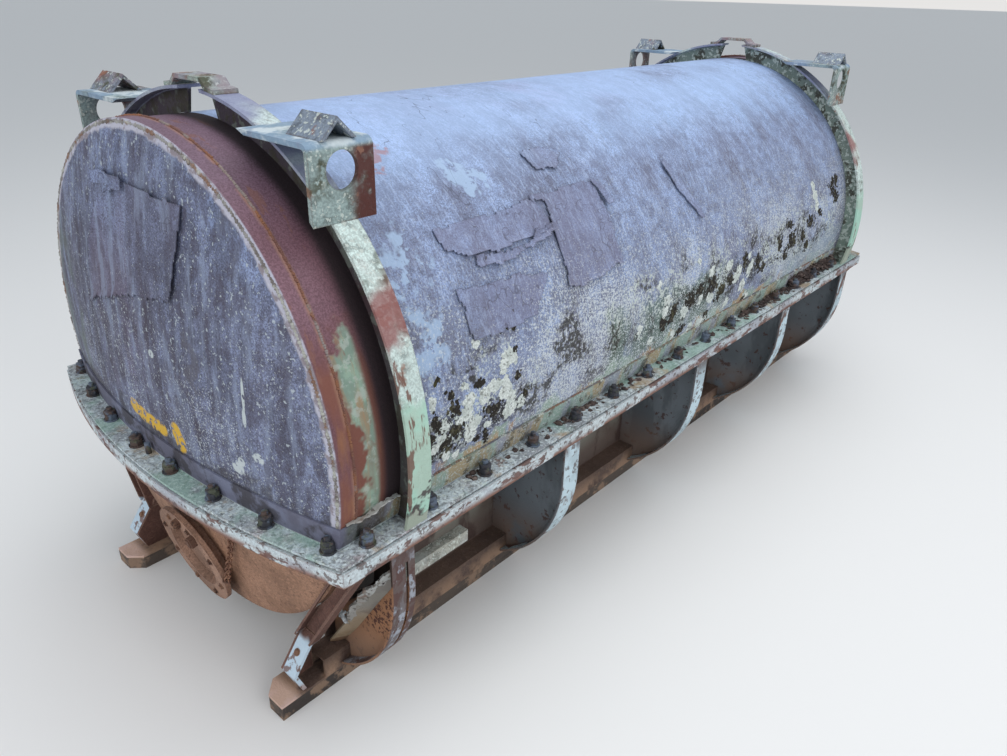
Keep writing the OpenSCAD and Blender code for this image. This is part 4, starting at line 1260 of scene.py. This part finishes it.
# %% Where the growth sits: place along the barrel, arc length from the crown, and radius, in mm
PALE_BUNCHES = [
    (-988, 757, 11), (-891, 784, 12), (-902, 755, 8), (-849, 793, 14), (-819, 778, 16), (-790, 796, 20),
    (-768, 820, 12), (-898, 807, 14), (-884, 842, 18), (-891, 862, 14), (-912, 819, 10), (-772, 849, 17),
    (-741, 847, 13), (-790, 756, 10), (-775, 736, 18), (-755, 742, 10), (-960, 816, 9), (-969, 839, 8),
    (-842, 860, 8), (-987, 853, 8), (-953, 881, 10), (-927, 894, 8), (-856, 679, 8), (-160, 780, 13),
    (-170, 809, 13), (-67, 839, 17), (-198, 731, 8), (76, 839, 17), (65, 904, 12), (35, 904, 12),
    (43, 904, 12), (-11, 904, 12), (187, 885, 12), (230, 809, 21), (278, 853, 16), (314, 808, 19),
    (178, 767, 15), (72, 762, 12), (323, 898, 13), (304, 766, 9), (16, 828, 11), (791, 672, 15),
    (803, 707, 15), (783, 641, 11), (5, 718, 8), (-286, 824, 10), (-227, 871, 10), (-108, 895, 11),
]
DARK_BUNCHES = [
    (-980, 801, 15), (-932, 789, 15), (-928, 834, 17), (-960, 854, 15), (-835, 828, 12), (-814, 832, 12),
    (-845, 883, 12), (-726, 836, 13), (-968, 714, 7), (-860, 759, 10), (-752, 726, 6), (-749, 781, 8),
    (-1000, 825, 11), (-871, 883, 8), (-937, 756, 8), (-131, 829, 21), (-42, 812, 22), (-172, 845, 16),
    (9, 797, 17), (77, 800, 23), (134, 836, 21), (274, 781, 19), (365, 802, 19), (403, 830, 16),
    (517, 782, 20), (584, 732, 17), (609, 785, 28), (570, 826, 17), (697, 787, 18), (747, 753, 22),
    (740, 830, 18), (830, 736, 15), (964, 701, 23), (942, 663, 19), (985, 645, 16), (311, 904, 13),
    (69, 889, 15), (-67, 893, 17), (188, 814, 15), (-785, 674, 8), (-761, 671, 10), (-738, 667, 8),
]

# %% Lichen and moss on the barrel
for side, sign in SIDES:
    drift = 20 if side == "left" else 0
    dark = [(u + drift, v, r) for u, v, r in DARK_BUNCHES]
    pale = [(u + 2 * drift, v, r) for u, v, r in PALE_BUNCHES]
    sizes = (0.0012, 0.006, 0.0025)
    grown(f"moss_{side}", cushion, 4, lobes(dark, 12, 0.9), sign, sizes, 0.6, moss_finish)
    sizes = (0.003, 0.01, 0.005)
    grown(f"moss_mats_{side}", rosette, 5, lobes(dark, 6, 0.7), sign, sizes, 0.4, moss_finish)
    sizes = (0.002, 0.0095, 0.0048)
    grown(f"lichen_{side}", rosette, 5, lobes(pale, 18, 0.3), sign, sizes, 0.9, lichen_finish)

# %% [markdown]
# Small fittings sit on solids whose surface is curved or leaning. A helper finds the nearest
# point of the solid and the way it faces there, so that each fitting is seated square on what
# carries it, and looks seated from every side.

# %% Seating on a solid
def square_on(spot, facing, spin):
    """A matrix that stands a model's Z along facing at spot."""
    turn = facing.to_track_quat("Z", "Y").to_matrix().to_4x4()
    return Matrix.Translation(spot) @ turn @ Matrix.Rotation(spin, 4, "Z")


def square_at(node, point, spin):
    """The same at a solid's nearest point, facing as it does there."""
    _, spot, facing, _ = nodes[node].closest_point_on_mesh(Vector(point))
    return square_on(spot, facing, spin)


# %% [markdown]
# The port cover is a pressed plate on a ring of small bolts, with two clips beside the pan. The
# chain's ends hang in bent-wire eyes. The corner legs are held by one bolt each, and a short
# spare stud stands between two nuts of the near end.

# %% Finish of the small fittings
fitting_finish = spotted(
    "fitting_rust", (0.13, 0.066, 0.045), 0.78, 220, 0.6,
    (40, 0.5, 0.05, (0.27, 0.15, 0.095), 0.8, 0.8),
    (70, 0.56, 0.04, (0.05, 0.028, 0.022), 0.85, 0.8),
).done()

# %% Port cover bolts, clips and chain eyes
PORT_TILT = math.asin(0.412 / DISH_R)
PORT_OUT = Vector((-math.cos(PORT_TILT), 0, -math.sin(PORT_TILT)))
PORT_UP = Vector((-math.sin(PORT_TILT), 0, math.cos(PORT_TILT)))
COVER_FACE, COVER_BOLT_R, COVER_BOLTS = DISH_R + 0.0273, 0.1055, 8
COVER_MIDDLE = Vector((NEAR_DISH_X + DISH_R + 0.014, 0, AXIS_Z)) + COVER_FACE * PORT_OUT


def on_cover(turn, spin):
    """A matrix on the cover's bolt circle, its angle from the top."""
    across = COVER_BOLT_R * math.sin(turn) * Vector((0, 1, 0))
    return square_on(COVER_MIDDLE + across + COVER_BOLT_R * math.cos(turn) * PORT_UP, PORT_OUT, spin)


def hex_bolt():
    washer = rod("bolt_washer", 14, 0.0085, 0, 0.0014, 0.0003)
    return joined([washer, rod("bolt_head", 6, 0.0062, 0.0014, 0.005, 0.0008, 2)])


def clip():
    """A folded sheet clip: a plate with its two ends bent up."""
    plate = primitive("cube", size=1, location=(0, 0, 0.0015))
    plate.scale = (0.02, 0.012, 0.003)
    joined([plate])
    edit(bpy.ops.mesh.select_all, action="DESELECT")
    edit_faces(
        plate, lambda face: abs(face.normal.x) > 0.9,
        bpy.ops.mesh.extrude_faces_move, TRANSFORM_OT_shrink_fatten={"value": 0.003},
    )
    edit_faces(
        plate, lambda face: face.normal.z > 0.9 and abs(face.center.x) > 0.0095,
        bpy.ops.mesh.extrude_region_move, TRANSFORM_OT_translate={"value": (0, 0, 0.01)},
    )
    chamfer(0.0006)
    return plate


def loop(radius, wire, place, rotation):
    """A ring of wire."""
    sizes = {"major_radius": radius, "minor_radius": wire, "major_segments": 20, "minor_segments": 8}
    return primitive("torus", location=place, rotation=rotation, **sizes)


bolt_ring = [on_cover(math.tau * (n + 0.5) / COVER_BOLTS, n) for n in range(COVER_BOLTS)]
eyes = [
    square_at("lower_head_near", (-1.248, -0.188, 0.366), 0.6),
    square_at("port_cover", (-1.246, -0.128, 0.211), 0.2),
]
fittings = [
    copies(hex_bolt(), bolt_ring),
    copies(clip(), [on_cover(t, 1 - t) for t in (-0.05, -0.62)]),
    copies(joined([loop(0.008, 0.002, (0, 0, 0.0064), (math.pi / 2, 0, 0))]), eyes),
]
finished(joined(fittings), "port_fittings", fitting_finish)

# %% Leg bolts and the spare stud
leg_bolts = []
for end, x_sign in ENDS:
    for side, y_sign in SIDES:
        leg_bolts.append(square_at(f"brace_{end}_{side}", (x_sign * 1.232, y_sign * 0.343, 0.135), 0.3))
finished(copies(hex_bolt(), leg_bolts), "leg_bolts", fitting_finish)
spare = rod("spare_stud", 12, 0.0062, 0, 0.026, 0.0012, 2)
spare.data.transform(Matrix.Translation((-1.2905, 0.024, SEAT_Z - 0.0005)))
finished(joined([spare]), "spare_stud", nut_finish)

# %% [markdown]
# Two strips hang loose. One is a bent ribbon of sealing strip on the flange's upright leg, by
# the foot of the near ring. The other is the torn edge of the first rib's web: its lip is
# folded out, with a grey, frayed edge and a pale cable clamp left on it, beside the black
# gap, which is painted shade on the web, the lower shell and the skid behind it.

# %% Finish of the torn strips
strip_finish = spotted(
    "torn_strip_grey", (0.34, 0.33, 0.31), 0.75, 180, 0.5,
    (12, 0.5, 0.08, (0.52, 0.54, 0.53), None, 0.8),
    (26, 0.58, 0.05, (0.2, 0.13, 0.1), 0.85, 0.8),
    (90, 0.6, 0.04, (0.1, 0.08, 0.07), 0.85, 0.8),
).done()
f = spotted(
    "torn_lip_tan", (0.27, 0.185, 0.105), 0.75, 150, 0.5,
    (8, 0.5, 0.08, (0.34, 0.27, 0.19), None, 0.8),
    (15, 0.56, 0.05, (0.18, 0.1, 0.06), 0.85, 0.8),
)
f.lay(f.ramp(Z, 0.2, 0.27), (0.26, 0.27, 0.26), share=0.7)
lip_finish = f.done()
rows = [(50, 0.5, 0.05, (0.24, 0.25, 0.26), 0.8, 0.8)]
clamp_finish = spotted("clamp_pale", (0.52, 0.56, 0.58), 0.7, 220, 0.6, *rows).done()

# %% Strips along a line of points
JUST_OVER_ONE = 1.0001
UP = Vector((0, 0, 1))


def strip_grid(line, cells, rows):
    """A flat grid, with so many cells for each piece of the line."""
    grid = primitive("grid", x_subdivisions=(len(line) - 1) * cells, y_subdivisions=rows, size=1)
    return joined([grid])


def run_along(line, x):
    """How many pieces of the line a grid's x from -0.5 to 0.5 has passed."""
    return min(len(line) - JUST_OVER_ONE, max(0, (x + 0.5) * (len(line) - 1)))


def at(line, run):
    n = int(run)
    return Vector(line[n]).lerp(Vector(line[n + 1]), run - n)


def ribbon(line, width, thick, fray):
    """A flat strip that follows a line and faces up, with a ragged edge."""
    strip = strip_grid(line, 6, 4)
    for vertex in strip.data.vertices:
        run = run_along(line, vertex.co.x)
        ahead = (Vector(line[int(run) + 1]) - Vector(line[int(run)])).normalized()
        across = UP.cross(ahead).normalized()
        bump = fray * noise.fractal(Vector((run * 2.1, vertex.co.y * 3, 5)), 1, 2, 3)
        vertex.co = at(line, run) + across * vertex.co.y * width * (1 + 6 * bump / width) + UP * bump
    return thickened(strip, thick)


def ruled(low_line, high_line, low, high, thick, fray=0):
    """A torn sheet ruled between two lines, from share low to share high of the way across."""
    sheet = strip_grid(low_line, 8, 5)
    for vertex in sheet.data.vertices:
        run = run_along(low_line, vertex.co.x)
        ragged = fray * noise.fractal(Vector((run * 2.7, vertex.co.y * 2, 3)), 1, 2, 3)
        across = low + (high - low) * (vertex.co.y + 0.5) + ragged
        vertex.co = at(low_line, run).lerp(at(high_line, run), across)
    return thickened(sheet, thick)


# %% The loose seal and the torn web
LOOSE_LINE = [
    (-1.2, -0.523, 0.544), (-1.178, -0.53, 0.5445), (-1.152, -0.531, 0.544), (-1.128, -0.529, 0.548),
    (-1.112, -0.53, 0.552), (-1.097, -0.528, 0.549), (-1.08, -0.524, 0.545),
]
finished(ribbon(LOOSE_LINE, 0.009, 0.003, 0.0015), "loose_seal_strip", strip_finish, 50)
FOLD_YZ = [(-0.345, 0.078), (-0.401, 0.154), (-0.45, 0.229), (-0.485, 0.284), (-0.527, 0.345)]
FRAYED_YZ = [(-0.346, 0.103), (-0.411, 0.2), (-0.44, 0.262), (-0.487, 0.33)]
FOLD_LINE = [(-1.1075, *spot) for spot in FOLD_YZ]
FRAYED_LINE = [*((-1.141, *spot) for spot in FRAYED_YZ), (-1.124, -0.543, 0.4)]
lip = ruled(FOLD_LINE, FRAYED_LINE, 0, 1, 0.004)
finished(lip, "torn_web_lip", lip_finish, 50)
frayed = ruled(FOLD_LINE[1:], FRAYED_LINE[1:], 0.68, 1.1, 0.0055, 0.3)
finished(frayed, "torn_web_edge", strip_finish, 50)
clamp = [loop(0.011, 0.0042, (-1.147, -0.412, 0.219), (0.5, 1.2, 0.2))]
for lean in (-0.5, 0.7):
    tail = rod("clamp_tail", 8, 0.0036, 0, 0.03, 0.0008)
    tail.data.transform(Matrix.Translation((-1.148, -0.412, 0.213)) @ Matrix.Rotation(math.pi + lean, 4, "X"))
    clamp.append(tail)
finished(joined(clamp), "torn_clamp", clamp_finish, 50)

# %% [markdown]
# Dirt gathers where the flange meets the barrel: crumbs and leaf litter in low heaps, deepest
# at the far end of the right side. The heaps are lumpy cushions pressed half into the flange,
# and the leaves are curled scraps of one bent plane.

# %% Litter on the flange
HEAP_Y, HEAP_SPREAD, HEAP_WIDTH = 0.519, 0.011, 0.035
CRUMB_SIZES = (0.002, 0.011, 0.005)
TUMBLE = 0.5
HEAPS = [
    (-1, 0.66, 1.04, 620, 0.036),
    (-1, 0.3, 0.66, 130, 0.01),
    (-1, -0.9, 0.3, 90, 0.004),
    (1, -1, 1, 160, 0.006),
]


def scrap():
    """A dry leaf scrap: a small grid curled across its middle."""
    leaf = primitive("grid", x_subdivisions=4, y_subdivisions=2, size=2)
    for vertex in leaf.data.vertices:
        vertex.co.y *= 0.45 * (1.15 - abs(vertex.co.x))
        vertex.co.z = 0.35 * vertex.co.x**2 + 0.5 * abs(vertex.co.y)
    return thickened(leaf, 0.1, -1)


def heap_places(count, low_x, high_x, sign, height):
    """Matrices for crumbs on the flange, closer together and higher towards the barrel."""
    places = []
    for _ in range(count):
        x = random.uniform(low_x, high_x)
        y = sign * (HEAP_Y + abs(random.gauss(0, HEAP_SPREAD)))
        size = random.triangular(*CRUMB_SIZES)
        z = SEAT_Z + random.uniform(0, height) * max(0, 1 - (abs(y) - HEAP_Y) / HEAP_WIDTH)
        spin = Matrix.Rotation(random.uniform(0, FULL_TURN), 4, "Z")
        turn = spin @ Matrix.Rotation(random.uniform(-TUMBLE, TUMBLE), 4, "X")
        places.append(Matrix.Translation((x, y, z)) @ turn @ Matrix.Diagonal((size, size, size * 0.8, 1)))
    return places


heaps = []
for sign, low_x, high_x, count, height in HEAPS:
    heaps.append(copies(cushion(), heap_places(count, low_x, high_x, sign, height)))
    heaps.append(copies(scrap(), heap_places(count // 2, low_x, high_x, sign, height * 1.3)))
finished(joined(heaps), "flange_litter", litter_finish, 60)

# %% [markdown]
# Last come two boxes: the CAD model's own, and that of the dressed model, which stays inside it.

# %% Sizes, and the end
dressed_low, dressed_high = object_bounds()
sizes = {"cad_box": [list(box_low), list(box_high)], "visual_box": [list(dressed_low), list(dressed_high)]}
print("dressed box", [round(v, 4) for v in (*dressed_low, *dressed_high)])
